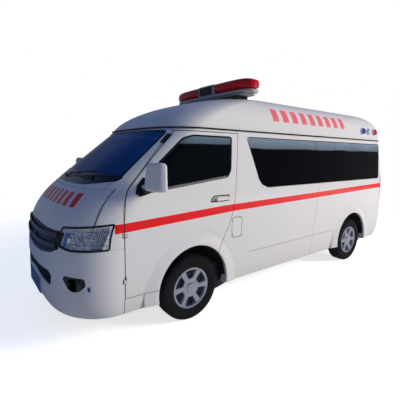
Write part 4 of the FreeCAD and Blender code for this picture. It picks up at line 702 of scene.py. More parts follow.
# Each pane is paler above its lower height as a painted sky reflection; the windscreen's blue gradient is one
# too
dark_pane = pane("dark_pane", ink(0.055, 0.06, 0.075), ink(0.52, 0.58, 0.64), 1.735, 1.87, 0.97)
door_pane = pane("door_pane", ink(0.07, 0.085, 0.10), ink(0.44, 0.52, 0.58), 1.765, 1.87, 0.88)
front_pane = pane("front_pane", ink(0.07, 0.19, 0.33), ink(0.15, 0.36, 0.60), 1.42, 1.95, 0.84)
clear_lens = pane("clear_lens", ink(0.42, 0.46, 0.50), ink(0.55, 0.60, 0.66), 0.95, 1.10, 0.06)
red_lens = lens("red_lens", ink(0.86, 0.05, 0.12), pitch=0.025, transmission=0.22)
ribbed_lens = lens("ribbed_lens", ink(0.78, 0.75, 0.72), pitch=0.018, transmission=0.25, roughness=0.12)
seat_cloth = cloth("seat_cloth", ink(0.34, 0.36, 0.41))
mattress_vinyl = vinyl("mattress_vinyl", ink(0.18, 0.30, 0.52))
bench_vinyl = vinyl("bench_vinyl", ink(0.30, 0.33, 0.38))


# %% [markdown]
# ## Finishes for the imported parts
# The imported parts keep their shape. Each one gets the finish of the thing it is, straight into its
# material slots, so nothing here moves a vertex.

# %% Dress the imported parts
def dress(finish, *nodes):
    """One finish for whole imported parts."""
    for node in nodes:
        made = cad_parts[node]
        if not made.material_slots:
            made.data.materials.append(finish)
        for place in made.material_slots:
            place.material = finish


dress(white_panel, "side_panel_left")
dress(white_side, "side_panel_right", "sliding_door", "door_left", "door_right", "tailgate")
dress(white_wing, "front_wings")
dress(white_bumper, "front_bumper", "cab_sills")
dress(white_plain, "windscreen_frame", "rear_bumper", "fuel_flap", "mirror_left", "mirror_right")
dress(white_roof, "roof")
dress(white_bonnet, "bonnet")
dress(seal_rubber, "gutter_strip")
dress(dark_pane, "side_glass", "tailgate_glass")
dress(door_pane, "door_glass_left", "door_glass_right")
dress(front_pane, "windscreen")
dress(black_plastic, "grille", "wheelhouses", "steering_wheel")
dress(trim_grey, "dashboard")
dress(floor_sheet, "floor")
dress(steel, "exhaust", "stretcher")
dress(cast, "engine", "knuckle_left", "knuckle_right", "rear_axle", "front_suspension")
dress(chassis_black, "chassis_rails", "fuel_tank", "radiator")
dress(bar_grey, "light_bar")
dress(red_lens, "light_bar_lenses")
dress(tail_lens, "tail_lamps")
dress(roof_lens, "roof_lamps")
dress(clear_lens, "headlamps")
dress(seat_cloth, "cab_seats", "bench")
dress(mattress_vinyl, "mattress")
dress(silver, *[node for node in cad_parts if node.startswith("rim_")])
print("dressed", len(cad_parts), "packed parts")

# %% [markdown]
# ## Tyres
# A tyre is its section turned about the axle. The tread could be cut by booleans, but as a height
# over angle and width it is one sum: ring grooves, cross cuts and shoulder blocks, each pushing
# the surface inwards a few millimetres.

# %% Tyres with tread
TYRE_RADIUS, TYRE_SEAT, TYRE_HALF_WIDTH, HALF_TRACK = 0.334, 0.194, 0.097, 0.800
SHOULDER_FROM, TREAD_FROM = 0.306, 0.32


def tyre_section():
    """From the seat up the sidewall, over the tread and down the other side, as (width, radius)."""
    share = np.array([0.0, 1.0, 2.0, 3.0, 4.0])
    at = np.linspace(0, 4, 21)
    rise = spline(share, np.array([0, 0.26, 0.55, 0.88, 1.0]), at)
    wide = spline(share, np.array([0.82, 0.95, 1.0, 0.90, 0.66]), at)
    side = np.stack([wide * TYRE_HALF_WIDTH, TYRE_SEAT + rise * (TYRE_RADIUS - TYRE_SEAT - 0.002)], axis=1)
    across = np.linspace(0.64, -0.64, 43) * TYRE_HALF_WIDTH
    crown = np.stack([across, TYRE_RADIUS - 0.002 * (across / 0.062) ** 2], axis=1)
    return np.concatenate([side, crown, side[::-1] * (-1, 1)])


def bump_between(value, low, high, soft):
    """One between two limits, with a straight slope at each."""
    return np.clip((value - low) / soft, 0, 1) * np.clip((high - value) / soft, 0, 1)


def tyre(name, x, hand):
    """The section at each angle, less the depth of the tread there."""
    section = tyre_section()
    turn = np.linspace(0, math.tau, 360, endpoint=False)[:, None]
    across, radius = section[None, :, 0], section[None, :, 1]
    width = np.abs(across)
    rings = bump_between(width, 0.017, 0.026, 0.002) + bump_between(width, 0.046, 0.055, 0.002)
    wave = (turn * 60 / math.tau + np.sin(across * 90) * 0.35) % 1
    cuts = bump_between(wave, 0.0, 0.28, 0.08)
    shoulder = bump_between(radius, SHOULDER_FROM, 0.40, 0.008) * (width > 0.054)
    middle = (width < 0.046) * (width > 0.026) * (radius > TREAD_FROM)
    depth = 0.007 * rings * (radius > TREAD_FROM) + cuts * (0.006 * shoulder + 0.0045 * middle)
    ridge = 0.0010 * (bump_between(radius, 0.292, 0.297, 0.002) + bump_between(radius, 0.222, 0.226, 0.002))
    r, y = radius - depth, across + np.sign(across) * (ridge * (width > 0.07) - 0.001) + 0 * turn
    points = np.stack([x + r * np.cos(turn), hand * HALF_TRACK + y, TYRE_RADIUS + r * np.sin(turn)], axis=-1)
    return piece(name + "_tread", [loop(points)], tyre_rubber, "wheel_" + name[5:], replaces=[name],
                 sharp=28)


for end, axle in AXLES:
    for side, hand in SIDES:
        tyre(f"tyre_{end}_{side}", axle, hand)

# %% [markdown]
# ## Lamps at the front
# A headlamp is a clear cover over a silver tub with round bowls in it. One solid with a lamp
# picture would stay flat, so the tub, the bowls and the cover are separate: the cover lies on the
# body's formula, and the bowls look along the skin's own direction at their place.

# %% Headlamps
LAMP = [(0.288, 1.051), (0.731, 1.089), (0.757, 0.882), (0.400, 0.874), (0.296, 0.895)]
BULB = [(0.006, 0), (0.014, 0.004), (0.014, 0.024), (0.006, 0.029)]
LAMP_FOOT = [(0.296, 0.900), (0.400, 0.880), (0.757, 0.888), (0.720, 0.868), (0.450, 0.836), (0.296, 0.833)]


def facing(place, a, b):
    """A point on the skin and the direction square to it there, from two small steps."""
    a, b, step = float(a), float(b), 0.002
    here = place(a, b, 0.0)
    across = place(a + step, b, 0.0) - here
    up = place(a, b + step, 0.0) - here
    square = np.cross(across, up)
    square /= np.linalg.norm(square)
    outward = place(a, b, 0.01) - here
    return here, square if square @ outward > 0 else -square


def tub(outline, place, wall, depth, edge):
    """An open tray: down the inside of its wall, across its floor, and back up the outside."""
    middle = outline.mean(axis=0)
    floor = [moved(outline, wall * 2.5) * share + middle * (1 - share) for share in (1, 0.6, 0.2)]
    rings = [place(outline[:, 0], outline[:, 1], -edge)]
    rings.append(place(*moved(outline, wall).T, -edge))
    rings += [place(*ring.T, -depth) for ring in floor]
    rings += [place(*ring.T, -depth - 0.004) for ring in floor[::-1]]
    rings.append(place(*outline.T, -depth - 0.004))
    return stack(rings)


def bowl(middle, axis, radius, depth, wall=0.002):
    """A reflector: radius grows with the square root of the depth, as a parabola's does."""
    share = np.linspace(0.06, 1, 14)
    inner = np.stack([radius * np.sqrt(share), -depth * (1 - share)], axis=1)
    rim = [(radius + 0.004, 0.001), (radius + 0.004, -0.004)]
    outer = np.stack([radius * np.sqrt(share[::-1]) + wall, -depth * (1 - share[::-1]) - 0.005], axis=1)
    return dish(middle, axis, np.concatenate([inner, rim, outer]))


def headlamp(hand):
    """Cover, frame, tub, two bowls with bulbs, a bright panel and the turn lamp's ribs."""
    wrap = on_wrap(hand)
    outline = traced(LAMP, 0.016, 120)
    side = "left" if hand < 0 else "right"
    piece(f"lamp_cover_{side}", [plate(outline, wrap, 0.0018, 0.0010, 0.0004, 10)], clear_lens,
          replaces=["headlamps"])
    edge = strip(outline, wrap, [(-0.008, -0.004), (-0.007, 0.0025), (0.009, 0.0025), (0.010, -0.010)])
    piece(f"lamp_frame_{side}", [edge], gloss_black)
    outer = traced([(0.690, 0.886), (0.728, 1.083), (0.733, 1.086), (0.755, 0.886)], 0.004, 120)
    piece(f"lamp_end_{side}", [plate(outer, wrap, 0.0004, -0.003, 0.0005)], lamp_grey)
    below = traced(LAMP_FOOT, 0.004, 120)
    piece(f"lamp_foot_{side}", [plate(below, wrap, 0.0006, -0.004, 0.001)], white_plain)
    piece(f"lamp_tub_{side}", [tub(moved(outline, 0.004), wrap, 0.002, 0.060, 0.006)], lamp_grey)
    bowls, bulbs = [], []
    for at, z, radius in ((0.715, 0.938, 0.058), (0.826, 0.968, 0.050)):
        place = wrapped([(at, z)])[0]
        here, out = facing(wrap, *place)
        centre = here - out * 0.016
        bowls.append(bowl(centre, out, radius, 0.040))
        bulbs.append(dish(centre - out * 0.036, out, BULB, 20))
    piece(f"lamp_bowls_{side}", bowls, chrome)
    piece(f"lamp_bulbs_{side}", bulbs, bulb_glass)
    panel = traced(wrapped([(0.633, 1.002), (0.662, 1.008), (0.668, 0.856), (0.622, 0.852)]), 0.006, 60)
    piece(f"lamp_panel_{side}", [plate(panel, wrap, -0.010, -0.022, 0.003)], blue_silver)
    first, last = wrapped([(0.846, 0.97), (0.886, 0.97)])[:, 0]
    ribs = []
    for place in np.linspace(first, last, 7):
        z = np.linspace(0.895, 1.045, 9)
        ribs.append(carried(wrap(np.full(9, place), z, -0.012), ROUND * 0.0045, (0, 1, 0)))
    piece(f"lamp_ribs_{side}", ribs, lamp_silver)
    shade = traced(wrapped([(0.664, 0.868), (0.875, 0.884), (0.872, 0.902), (0.672, 0.880)]), 0.005, 90)
    piece(f"lamp_shade_{side}", [plate(shade, wrap, -0.009, -0.020, 0.002)], lamp_dark)


lamp_dark = grained("lamp_dark", ink(0.24, 0.26, 0.30), 0.3, grain=0.05)
lamp_silver = metal("lamp_silver", ink(0.74, 0.76, 0.80), 0.28)
blue_silver = metal("blue_silver", ink(0.42, 0.56, 0.78), 0.22)
bulb_glass = lens("bulb_glass", (0.98, 0.97, 0.93, 1.0), transmission=0.6, roughness=0.15)
for hand in (-1, 1):
    headlamp(hand)

# %% [markdown]
# ## Grille, intake and fog lamps
# The grille is a dark frame with two wide bars over fine slats. Each bar is one flat section
# carried across the nose, so it bends with the body and stays the same height all along.

# %% Grille bars and slats
def across_nose(z, reach, sag, lift, count=49):
    """Places across the nose at one height, dipping at the ends by the square of the way out."""
    y = np.linspace(-reach, reach, count)
    height = z + sag * (y / reach) ** 2
    return on_front(y, height, lift)


cap_blue = grained("cap_blue", ink(0.16, 0.32, 0.50), 0.4)
BAR = rounded([(-0.010, -0.024), (0.006, -0.018), (0.006, 0.018), (-0.010, 0.024)], 0.006, 4)
bars = [carried(across_nose(z, 0.560, 0.028, 0.004), BAR, (0, 0, 1)) for z in (0.955, 0.868)]
piece("grille_bars", bars, bar_shade)
SLAT = rounded([(-0.008, -0.003), (0.004, -0.002), (0.004, 0.002), (-0.008, 0.003)], 0.001, 2)
slats = [carried(across_nose(z, reach, 0.028, -0.006), SLAT, (0, 0, 1))
         for z, reach in ((0.990, 0.585), (0.912, 0.580), (0.826, 0.48), (0.806, 0.40))]
piece("grille_slats", slats, black_plastic)
ring = dish(*facing(on_front, 0.0, 0.912), [(0.030, 0.004), (0.040, 0.008), (0.046, 0.006), (0.046, -0.002),
                                            (0.030, -0.002)])
piece("grille_boss", [ring], bar_shade)
intake_slats = [carried(across_nose(z, reach, 0.010, -0.030), SLAT * 1.6, (0, 0, 1))
                for z, reach in ((0.545, 0.44), (0.580, 0.47), (0.612, 0.46))]
piece("intake_slats", intake_slats, black_plastic)
INTAKE = mirrored([(0.0, 0.5017), (-0.4812, 0.5209), (-0.5085, 0.6224), (-0.454, 0.6607), (0.0, 0.6415)])
intake_line = traced(INTAKE, 0.018, 200)
blade_line = traced(mirrored([(0.0, 0.496), (-0.470, 0.512), (-0.486, 0.528), (-0.30, 0.540),
                              (0.0, 0.570)]), 0.012, 160)
blade = [plate(blade_line, on_front, 0.0, -0.012, 0.003, 6)]
piece("intake_blade", blade, white_plain)
intake_back = plate(moved(intake_line, -0.006), on_front, -0.055, -0.060, 0.002)
piece("intake_back", [intake_back], gloss_black)
intake_edge = strip(intake_line, on_front, [(-0.001, -0.050), (-0.001, -0.001), (0.003, -0.001),
                                            (0.003, -0.050)])
piece("intake_edge", [intake_edge], black_plastic)

# %% Joint seals
high = np.linspace(1.02, 1.40, 77)
edge_y = np.array([0.825, 0.8135, 0.793, 0.776])
skin = nose_x(edge_y[:, None], high[None, :])
edge_z = [np.interp(x, row, high) for x, row in zip((-2.490, -2.402, -2.327, -2.228), skin)]
door_path = [(-2.2042, 0.436), (-2.2042, 1.084), (-2.1735, 1.288), (-2.1365, 1.359), (-2.0385, 1.463),
             (-1.8575, 1.650), (-1.6365, 1.857), (-1.606, 1.884)]
door_path = evened(np.array(door_path + door_path[::-1]), 240)[:120]
for side, hand in SIDES:
    share = np.linspace(0, len(edge_y) - 1, 60)
    y, z = (np.interp(share, np.arange(len(edge_y)), values) for values in (edge_y, edge_z))
    cords = [carried(on_front(hand * y, z, -0.0012), ROUND * 0.0030, (1, 0, 0)),
             carried(on_side(hand)(door_path[:, 0], door_path[:, 1], -0.0012), ROUND * 0.0030, (0, 1, 0))]
    piece(f"joint_seals_{side}", cords, seal_rubber)

# %% Front plate
holder = slab((-2.7445, -0.235, 0.366), (-2.715, 0.235, 0.520), 0.006)
piece("plate_holder", [holder], bar_grey)
blank = slab((-2.7485, -0.220, 0.374), (-2.7440, 0.220, 0.512), 0.0015)
piece("front_plate", [blank], plate_blue)

# %% Fog lamps
FOG_Y, FOG_Z = 0.745, 0.590
FOG_SLEEVE = [(0.0572, -0.030), (0.0572, 0.032), (0.0555, 0.034), (0.050, 0.002), (0.030, -0.012),
              (0.002, -0.012)]
FOG_COVER = [(0.002, 0.008), (0.018, 0.006), (0.030, 0.0), (0.030, -0.002), (0.002, -0.002)]
cap_line = traced([(-0.829, 0.538), (-0.842, 0.538), (-0.842, 0.582), (-0.829, 0.582)], 0.006, 40)
piece("tow_cap", [plate(cap_line, on_front, 0.0020, -0.003, 0.001)], cap_blue)
for side, hand in SIDES:
    here, out = facing(on_front, hand * FOG_Y, FOG_Z)
    ahead = np.array([-1.0, 0.0, 0.0])
    centre = np.array([here[0] + 0.045, hand * FOG_Y, FOG_Z])
    sleeve = dish(centre, ahead, FOG_SLEEVE)
    piece(f"fog_sleeve_{side}", [sleeve], black_plastic)
    piece(f"fog_bowl_{side}", [bowl(centre + ahead * 0.006, ahead, 0.030, 0.016)], chrome)
    bezel = traced([(0.815, 0.652), (0.680, 0.662), (0.655, 0.640), (0.690, 0.575), (0.735, 0.530),
                    (0.780, 0.536), (0.823, 0.590)], 0.018, 96)
    turned = np.arctan2(bezel[:, 1] - FOG_Z, bezel[:, 0] - FOG_Y)
    bezel = np.roll(bezel, -int(np.argmin(np.abs(turned))), axis=0)
    rim = 0.0530 * np.stack([np.cos(turned), np.sin(turned)], axis=1) + (FOG_Y, FOG_Z)
    rim = np.roll(rim, -int(np.argmin(np.abs(turned))), axis=0)
    ring = [on_front(hand * edge[:, 0], edge[:, 1], lift)
            for edge, lift in ((bezel, -0.002), (bezel, 0.0015), (rim, 0.0015), (rim, -0.070))]
    piece(f"fog_bezel_{side}", [loop(ring)], gloss_black)
    cover = dish(centre + ahead * 0.008, ahead, FOG_COVER)
    piece(f"fog_cover_{side}", [cover], clear_lens)

# %% [markdown]
# ## Rubber round the glass
# A window never meets paint: a black seal lies between them. It is one small section carried
# round the window's own outline, and it lies on the skin's formula, so it can't float.

# %% Seals and the windscreen's border
def at_side(shares, start, length):
    """Shares of a length behind a place, and of the gutter's height, turned into a side view."""
    return np.array([(start + back * length, height * GUTTER) for back, height in shares])


DOOR_START, DOOR_LENGTH = FRONT_AXLE - 0.710, 1.326
WINDOW = at_side([(0.0988, 0.714), (0.2813, 0.8386), (0.4729, 0.952), (0.5528, 0.968), (0.935, 0.968),
                  (0.918, 0.783), (0.8808, 0.7457), (0.2014, 0.6935)], DOOR_START, DOOR_LENGTH)
BAND = at_side([(0.2395, 0.9723), (0.3016, 0.7248), (0.3170, 0.6935), (0.3511, 0.6726), (1.2781, 0.6726),
                (1.2772, 0.9734)], FRONT_AXLE, WHEELBASE)
SCREEN = mirrored([(0.0, 1.3855), (-0.454, 1.3922), (-0.7427, 1.4267), (-0.7010, 1.8949), (-0.3632, 1.9006),
                   (0.0, 1.9016)])
# Sections as (inward, lift), or across and along the way that they are carried
DOOR_SEAL = [(-0.001, -0.009), (-0.001, 0.0012), (0.012, 0.0012), (0.016, -0.003), (0.016, -0.009)]
BAND_SEAL = [(0.0, -0.006), (0.0, 0.0008), (0.008, 0.0008), (0.010, -0.006)]
BELT = rounded([(-0.005, -0.014), (0.004, -0.010), (0.004, 0.010), (-0.005, 0.014)], 0.003, 3)
window_line = traced(WINDOW, 0.035, 160)
band_line = traced(BAND, 0.045, 260)
screen_line = traced(SCREEN, 0.060, 260)
for side, hand in SIDES:
    door_seal = strip(window_line, on_side(hand), DOOR_SEAL)
    piece(f"window_seal_{side}", [door_seal], seal_rubber, "door_" + side)
    band_seal = strip(band_line, on_side(hand), BAND_SEAL)
    piece(f"band_seal_{side}", [band_seal], seal_rubber)
    foot = window_line[(window_line[:, 1] < 1.43) & (window_line[:, 0] > -1.90) & (window_line[:, 0] < -1.04)]
    foot = foot[np.argsort(foot[:, 0])]
    belt = on_side(hand)(foot[:, 0], foot[:, 1] + 0.012, 0.003)
    piece(f"window_belt_{side}", [carried(belt, BELT, (0, 0, 1))], belt_rubber, "door_" + side)
border = strip(screen_line, on_front, [(0.0, -0.004), (0.0, 0.0012), (0.014, 0.0012), (0.014, -0.004)])
piece("screen_border", [border], gloss_black)

# %% [markdown]
# ## Wipers and the black panel under the screen
# The wipers rest low on the screen. An arm is a flat bar whose width shrinks towards the blade,
# and the blade is a thin rubber carried along the glass.

# %% Wipers
def strip_fill(outline):
    """A thin cover over a long outline: columns between its lower and its upper edge."""
    across = np.linspace(outline[:, 0].min() + 0.002, outline[:, 0].max() - 0.002, 90)
    middle = np.interp(across, [outline[:, 0].min(), 0, outline[:, 0].max()], [1.45, 1.425, 1.45])
    edges = []
    for sign in (-1, 1):
        half = outline[(outline[:, 1] - np.interp(outline[:, 0], across, middle)) * sign > 0]
        half = half[np.argsort(half[:, 0])]
        edges.append(np.interp(across, half[:, 0], half[:, 1]))
    share = np.linspace(0, 1, 9)[:, None]
    z = edges[0] * (1 - share) + edges[1] * share
    y = across[None, :] + 0 * z
    outer, inner = on_front(y, z, 0.0022), on_front(y, z, -0.004)
    return stack(np.concatenate([outer, inner[::-1]]).transpose(1, 0, 2))


def wiper(name, foot, tip, blade_start, blade_end):
    """An arm from its pivot to the blade's middle, and the blade lying on the glass."""
    t = np.linspace(0, 1, 25)[:, None]
    arm_line = np.asarray(foot) * (1 - t) + np.asarray(tip) * t
    arm = on_front(arm_line[:, 0], arm_line[:, 1], 0.0)
    arm[:, 0] -= 0.012 + 0.016 * np.sin(np.pi * t[:, 0])
    size = (0.011 - 0.006 * t)[..., None]
    section = rounded(box(-1, -0.4, 1, 0.4), 0.3, 3)[None]
    blade_line = np.asarray(blade_start) * (1 - t) + np.asarray(blade_end) * t
    blade = on_front(blade_line[:, 0], blade_line[:, 1], 0.0)
    blade[:, 0] -= 0.007
    pivot, out = facing(on_front, *foot)
    knob = dish(pivot, out, [(0.017, -0.004), (0.017, 0.016), (0.010, 0.022), (0.002, 0.023)], 24)
    forms = [carried(arm, section * size, (1, 0, 0)), carried(blade, ROUND * (0.006, 0.006), (1, 0, 0)), knob]
    piece(name, forms, black_plastic)


wiper("wiper_right_hand", (0.20, 1.425), (-0.10, 1.480), (0.18, 1.455), (-0.40, 1.500))
wiper("wiper_left_hand", (-0.46, 1.440), (-0.16, 1.455), (-0.66, 1.475), (-0.10, 1.440))
cowl_line = traced(mirrored([(0.0, 1.376), (-0.44, 1.384), (-0.755, 1.428), (-0.742, 1.470), (-0.56, 1.482),
                             (-0.30, 1.498), (-0.10, 1.476), (0.0, 1.474)]), 0.020, 240)
piece("screen_foot", [strip_fill(cowl_line)], gloss_black)

# %% [markdown]
# ## Mirrors, handles and flaps
# Small things that a hand or the weather touches. They are flat plates, slabs with round edges and
# sections carried along short paths.

# %% Mirrors and handles
def mirror_shell(hand):
    """A housing swept back at its outer end: rounded plans, drawn in at the foot and the top."""
    rings = []
    for z in 1.475 + 0.119 * np.sin(np.linspace(-math.pi / 2, math.pi / 2, 25)):
        high = (z - 1.356) / 0.238
        end = max(0.0, abs(z - 1.475) - 0.089) / 0.030
        inset = 0.030 * (1 - math.sqrt(max(0.0, 1 - end * end)))
        plan = [(-2.054 + 0.016 * high, 0.944 + 0.030 * high),
                (-1.996 + 0.010 * high, 1.128 - 0.012 * high),
                (-1.948, 1.153 - 0.016 * high), (-1.930, 1.149 - 0.016 * high),
                (-1.930, 0.950 + 0.030 * high)]
        plan = traced(plan, 0.022, 72)
        middle = plan.mean(axis=0)
        plan = middle + (plan - middle) * (1 - inset / np.array([0.055, 0.10]))
        rings.append(np.stack([plan[:, 0], hand * plan[:, 1], np.full(72, z)], axis=1))
    ends = [np.tile(ring.mean(axis=0), (72, 1)) + (ring - ring.mean(axis=0)) * 0.03
            for ring in (rings[0], rings[-1])]
    return stack([ends[0]] + rings + [ends[1]])


# Shares of the mirror glass, and where along the van each ring lies
MIRROR_RINGS = [(0.04, -1.9278), (0.5, -1.9278), (1.0, -1.9278), (1.03, -1.9305), (1.0, -1.9325),
                (0.04, -1.9325)]
LOCK = [(0.010, -0.003), (0.010, 0.002), (0.008, 0.003), (0.002, 0.003)]
GRIP_X = -1.150
for side, hand in SIDES:
    door = "door_" + side
    face = traced([(1.070, 1.385), (1.135, 1.385), (1.135, 1.565), (0.978, 1.565), (0.978, 1.385)], 0.028)
    glass = np.stack([np.full(len(face), 0.0), hand * face[:, 0], face[:, 1]], axis=1)
    centre = glass.mean(axis=0)
    rings = [centre + (glass - centre) * share + (x, 0, 0) for share, x in MIRROR_RINGS]
    piece(f"mirror_glass_{side}", [stack(rings)], mirror_face, door)
    ys = (-0.965, -0.880) if hand < 0 else (0.880, 0.965)
    arm = slab((-2.036, ys[0], 1.366), (-1.952, ys[1], 1.402), 0.012)
    piece(f"mirror_housing_{side}", [mirror_shell(hand), arm], white_plain, door,
          replaces=[f"mirror_{side}"])
    sail = traced([(-1.992, 1.468), (-2.064, 1.392), (-2.088, 1.326), (-2.046, 1.302), (-1.930, 1.334)],
                  0.012)
    hub = slab((-2.050, ys[0], 1.340), (-1.955, ys[1], 1.370), 0.008)
    piece(f"mirror_foot_{side}", [plate(sail, on_side(hand), 0.012, -0.002, 0.004), hub], gloss_black, door)
    ringed = traced([(GRIP_X - 0.128, 1.193), (GRIP_X + 0.060, 1.190), (GRIP_X + 0.130, 1.196),
                     (GRIP_X + 0.132, 1.246), (GRIP_X - 0.080, 1.246)], 0.018, 90)
    rim = strip(ringed, on_side(hand), [(-0.006, -0.003), (-0.006, 0.0016), (0.0, 0.0022), (0.006, 0.0010),
                                        (0.006, -0.003)])
    piece(f"handle_rim_{side}", [rim], gloss_black, door)
    lock_at, lock_out = facing(on_side(hand), GRIP_X + 0.108, 1.230)
    piece(f"door_lock_{side}", [dish(lock_at, lock_out, LOCK, 24)], chrome, door)

# %% Slats on the pillar
for side, hand in SIDES:
    slat_line = traced([(-1.768, 1.772), (-1.742, 1.762), (-1.640, 1.852), (-1.672, 1.862)], 0.008, 60)
    piece(f"pillar_slat_{side}", [plate(slat_line, on_side(hand), 0.0018, -0.003, 0.001)], black_plastic)

# %% Mud flaps and arch liners
liner_black = grained("liner_black", ink(0.075, 0.075, 0.078), 0.8)
# Painted shade for the dark plates in the wheels' windows
painted_window_shade = grained("painted_window_shade", ink(0.10, 0.11, 0.16), 0.5, grain=0.1)


ARCH_BACK, ARCH_HEIGHT = 0.025, TYRE_RADIUS + 0.022


def liner(hand, axle, start, end, inner, outer=0.893):
    """A band inside the wheel arch, turned about the arch's centre between two angles."""
    turn = np.radians(np.linspace(start, end, 49))
    edges = [(0.4165, inner), (0.4165, outer), (0.4125, outer), (0.4125, inner)]
    rings = [np.stack([axle + ARCH_BACK + radius * np.cos(turn), np.full(49, hand * y),
                       ARCH_HEIGHT + radius * np.sin(turn)], axis=1) for radius, y in edges]
    return stack(np.stack(rings, axis=1))


def flap(hand, x):
    """A hanging rubber sheet, curved back a little towards its foot by a square."""
    share = np.linspace(0, 1, 13)
    path = np.stack([x + 0.030 * share ** 2, np.full(13, hand * 0.803), 0.500 - 0.290 * share], axis=1)
    section = rounded(box(-0.092, -0.0035, 0.092, 0.0035), 0.003, 3)
    return carried(path, section, (0, 1, 0))


for side, hand in SIDES:
    forms = [flap(hand, x) for x in (-1.088, 2.025)]
    piece(f"mud_flaps_{side}", forms, black_plastic)
    # The three upright plates close the arches on their inner side as splash panels, and their dark is also
    # painted shade where the floor under the van would show
    guard = sorted((hand * 0.491, hand * 0.496))
    forms = [liner(hand, FRONT_AXLE, 2, 178, 0.720), liner(hand, FRONT_AXLE, 32, 148, 0.510, 0.721),
             liner(hand, REAR_AXLE, 2, 178, 0.600),
             slab((-1.200, guard[0], 0.315), (-0.780, guard[1], 0.600), 0.002),
             slab((-1.960, guard[0], 0.330), (-1.700, guard[1], 0.600), 0.002),
             slab((1.560, guard[0], 0.440), (1.960, guard[1], 0.620), 0.002)]
    piece(f"arch_liners_{side}", forms, liner_black)

# %% [markdown]
# ## Wheel covers
# The imported rim is a plain disc with six windows. Its cover is one turned face whose height changes
# with the angle: the windows sink in it, and a round cap and an outer ring rise. A dark plate of
# painted shade lies low in each window, where a real wheel shows its brake in shadow.

# %% Wheel covers
COVER_FACE, WINDOW_PLATE, WINDOW_IN, WINDOW_OUT = 0.868, 0.842, 0.097, 0.186


def wheel_cover(axle, hand):
    """A turned face whose height changes with the angle: six windows sink, a cap and ring rise."""
    radius = np.concatenate([np.linspace(0.004, 0.040, 6), np.linspace(0.043, 0.052, 6),
                             np.linspace(0.060, 0.092, 6), np.linspace(0.096, 0.108, 5),
                             np.linspace(0.116, 0.172, 8), np.linspace(0.175, 0.186, 6),
                             np.linspace(0.189, 0.2115, 12)])[:, None]
    turn = np.linspace(0, math.tau, 240, endpoint=False)[None, :]
    sector = np.abs((turn * 6 / math.tau) % 1 - 0.5) * math.tau / 6
    half_window = math.pi / 6 - np.arcsin(np.clip((0.024 + 0.06 * (radius - 0.10)) / radius, 0, 0.99))
    window = np.clip((half_window - sector) * radius / 0.006, 0, 1)
    window = window * bump_between(radius, WINDOW_IN, WINDOW_OUT, 0.007)
    cap = np.clip((0.048 - radius) / 0.004, 0, 1) * 0.010 - bump_between(radius, 0.030, 0.036, 0.002) * 0.002
    rib = bump_between(sector * radius, 0.010, 0.060, 0.006) * 0.004 * (radius < 0.19)
    hollow = 0.012 * (1 - np.cos(np.clip(radius / 0.19, 0, 1) * math.pi)) / 2
    ring = bump_between(radius, 0.188, 0.2125, 0.005) * 0.006
    face = COVER_FACE + hollow + cap + ring - rib * bump_between(radius, 0.06, 0.19, 0.02) - window * 0.040
    face = face + 0 * turn
    front = np.stack([axle + radius * np.cos(turn), hand * face, TYRE_RADIUS + radius * np.sin(turn)],
                     axis=-1)
    back_radius, back_y = (np.array(values)[:, None] for values in ((0.2118, 0.2110, 0.190),
                                                                    (0.878, 0.720, 0.716)))
    back = np.stack([axle + back_radius * np.cos(turn), hand * back_y + 0 * turn,
                     TYRE_RADIUS + back_radius * np.sin(turn)], axis=-1)
    return stack(np.concatenate([front, back]))


def window_floor(axle, hand, number):
    """A plate of painted shade low in one window, between two angles and two radii."""
    middle = (number + 0.5) * math.tau / 6
    corners = []
    for radius, spread in ((0.106, 0.19), (0.180, 0.33)):
        corners.append([(radius, middle - spread), (radius, middle), (radius, middle + spread)])
    outline = corners[0] + corners[1][::-1]
    outline = traced([(r * math.cos(t), r * math.sin(t)) for r, t in outline], 0.008, 48)

    def place(a, b, lift):
        return np.stack([axle + a, hand * (WINDOW_PLATE + lift) + 0 * a, TYRE_RADIUS + b], axis=-1)
    return plate(outline, place, 0.002, -0.004, 0.001)


for end, axle in AXLES:
    for side, hand in SIDES:
        body = f"wheel_{end}_{side}"
        piece(f"wheel_cover_{end}_{side}", [wheel_cover(axle, hand)], silver, body,
              replaces=[f"rim_{end}_{side}"], sharp=50)
        floors = [window_floor(axle, hand, number) for number in range(6)]
        piece(f"wheel_windows_{end}_{side}", floors, painted_window_shade, body)

# %% [markdown]
# ## The light bar
# Two red domes taper towards their ends over a clear lower lens, with a grey middle between. Each
# dome is a stack of rounded boxes along the bar: the height and depth shrink with a power of the
# way out, as a moulded cover's do.

# %% Light bar
BAR_X, PLAN_POWER = -0.505, 3.2


def shell(start, end, hand, low, high, deep, power, count=25):
    """Rounded sections along the bar. Each is a circle raised to a power; the end one closes."""
    share = np.sin(np.linspace(0, math.pi / 2, count))
    shrink = 0.04 + 0.96 * (1 - share ** power) ** (1 / power)
    turn = np.linspace(0, math.tau, 40, endpoint=False)
    wave = lambda value: np.sign(value) * np.abs(value) ** 0.55
    width = deep * (0.04 + 0.96 * (1 - share ** PLAN_POWER) ** (1 / PLAN_POWER))[:, None]
    middle = (low + (high - low) * shrink * 0.5)[:, None]
    tall = ((high - low) * shrink * 0.5)[:, None]
    y = hand * (start + (end - start) * share)[:, None] + 0 * turn
    return stack(np.stack([BAR_X + width * wave(np.cos(turn)), y, middle + tall * wave(np.sin(turn))],
                          axis=-1))


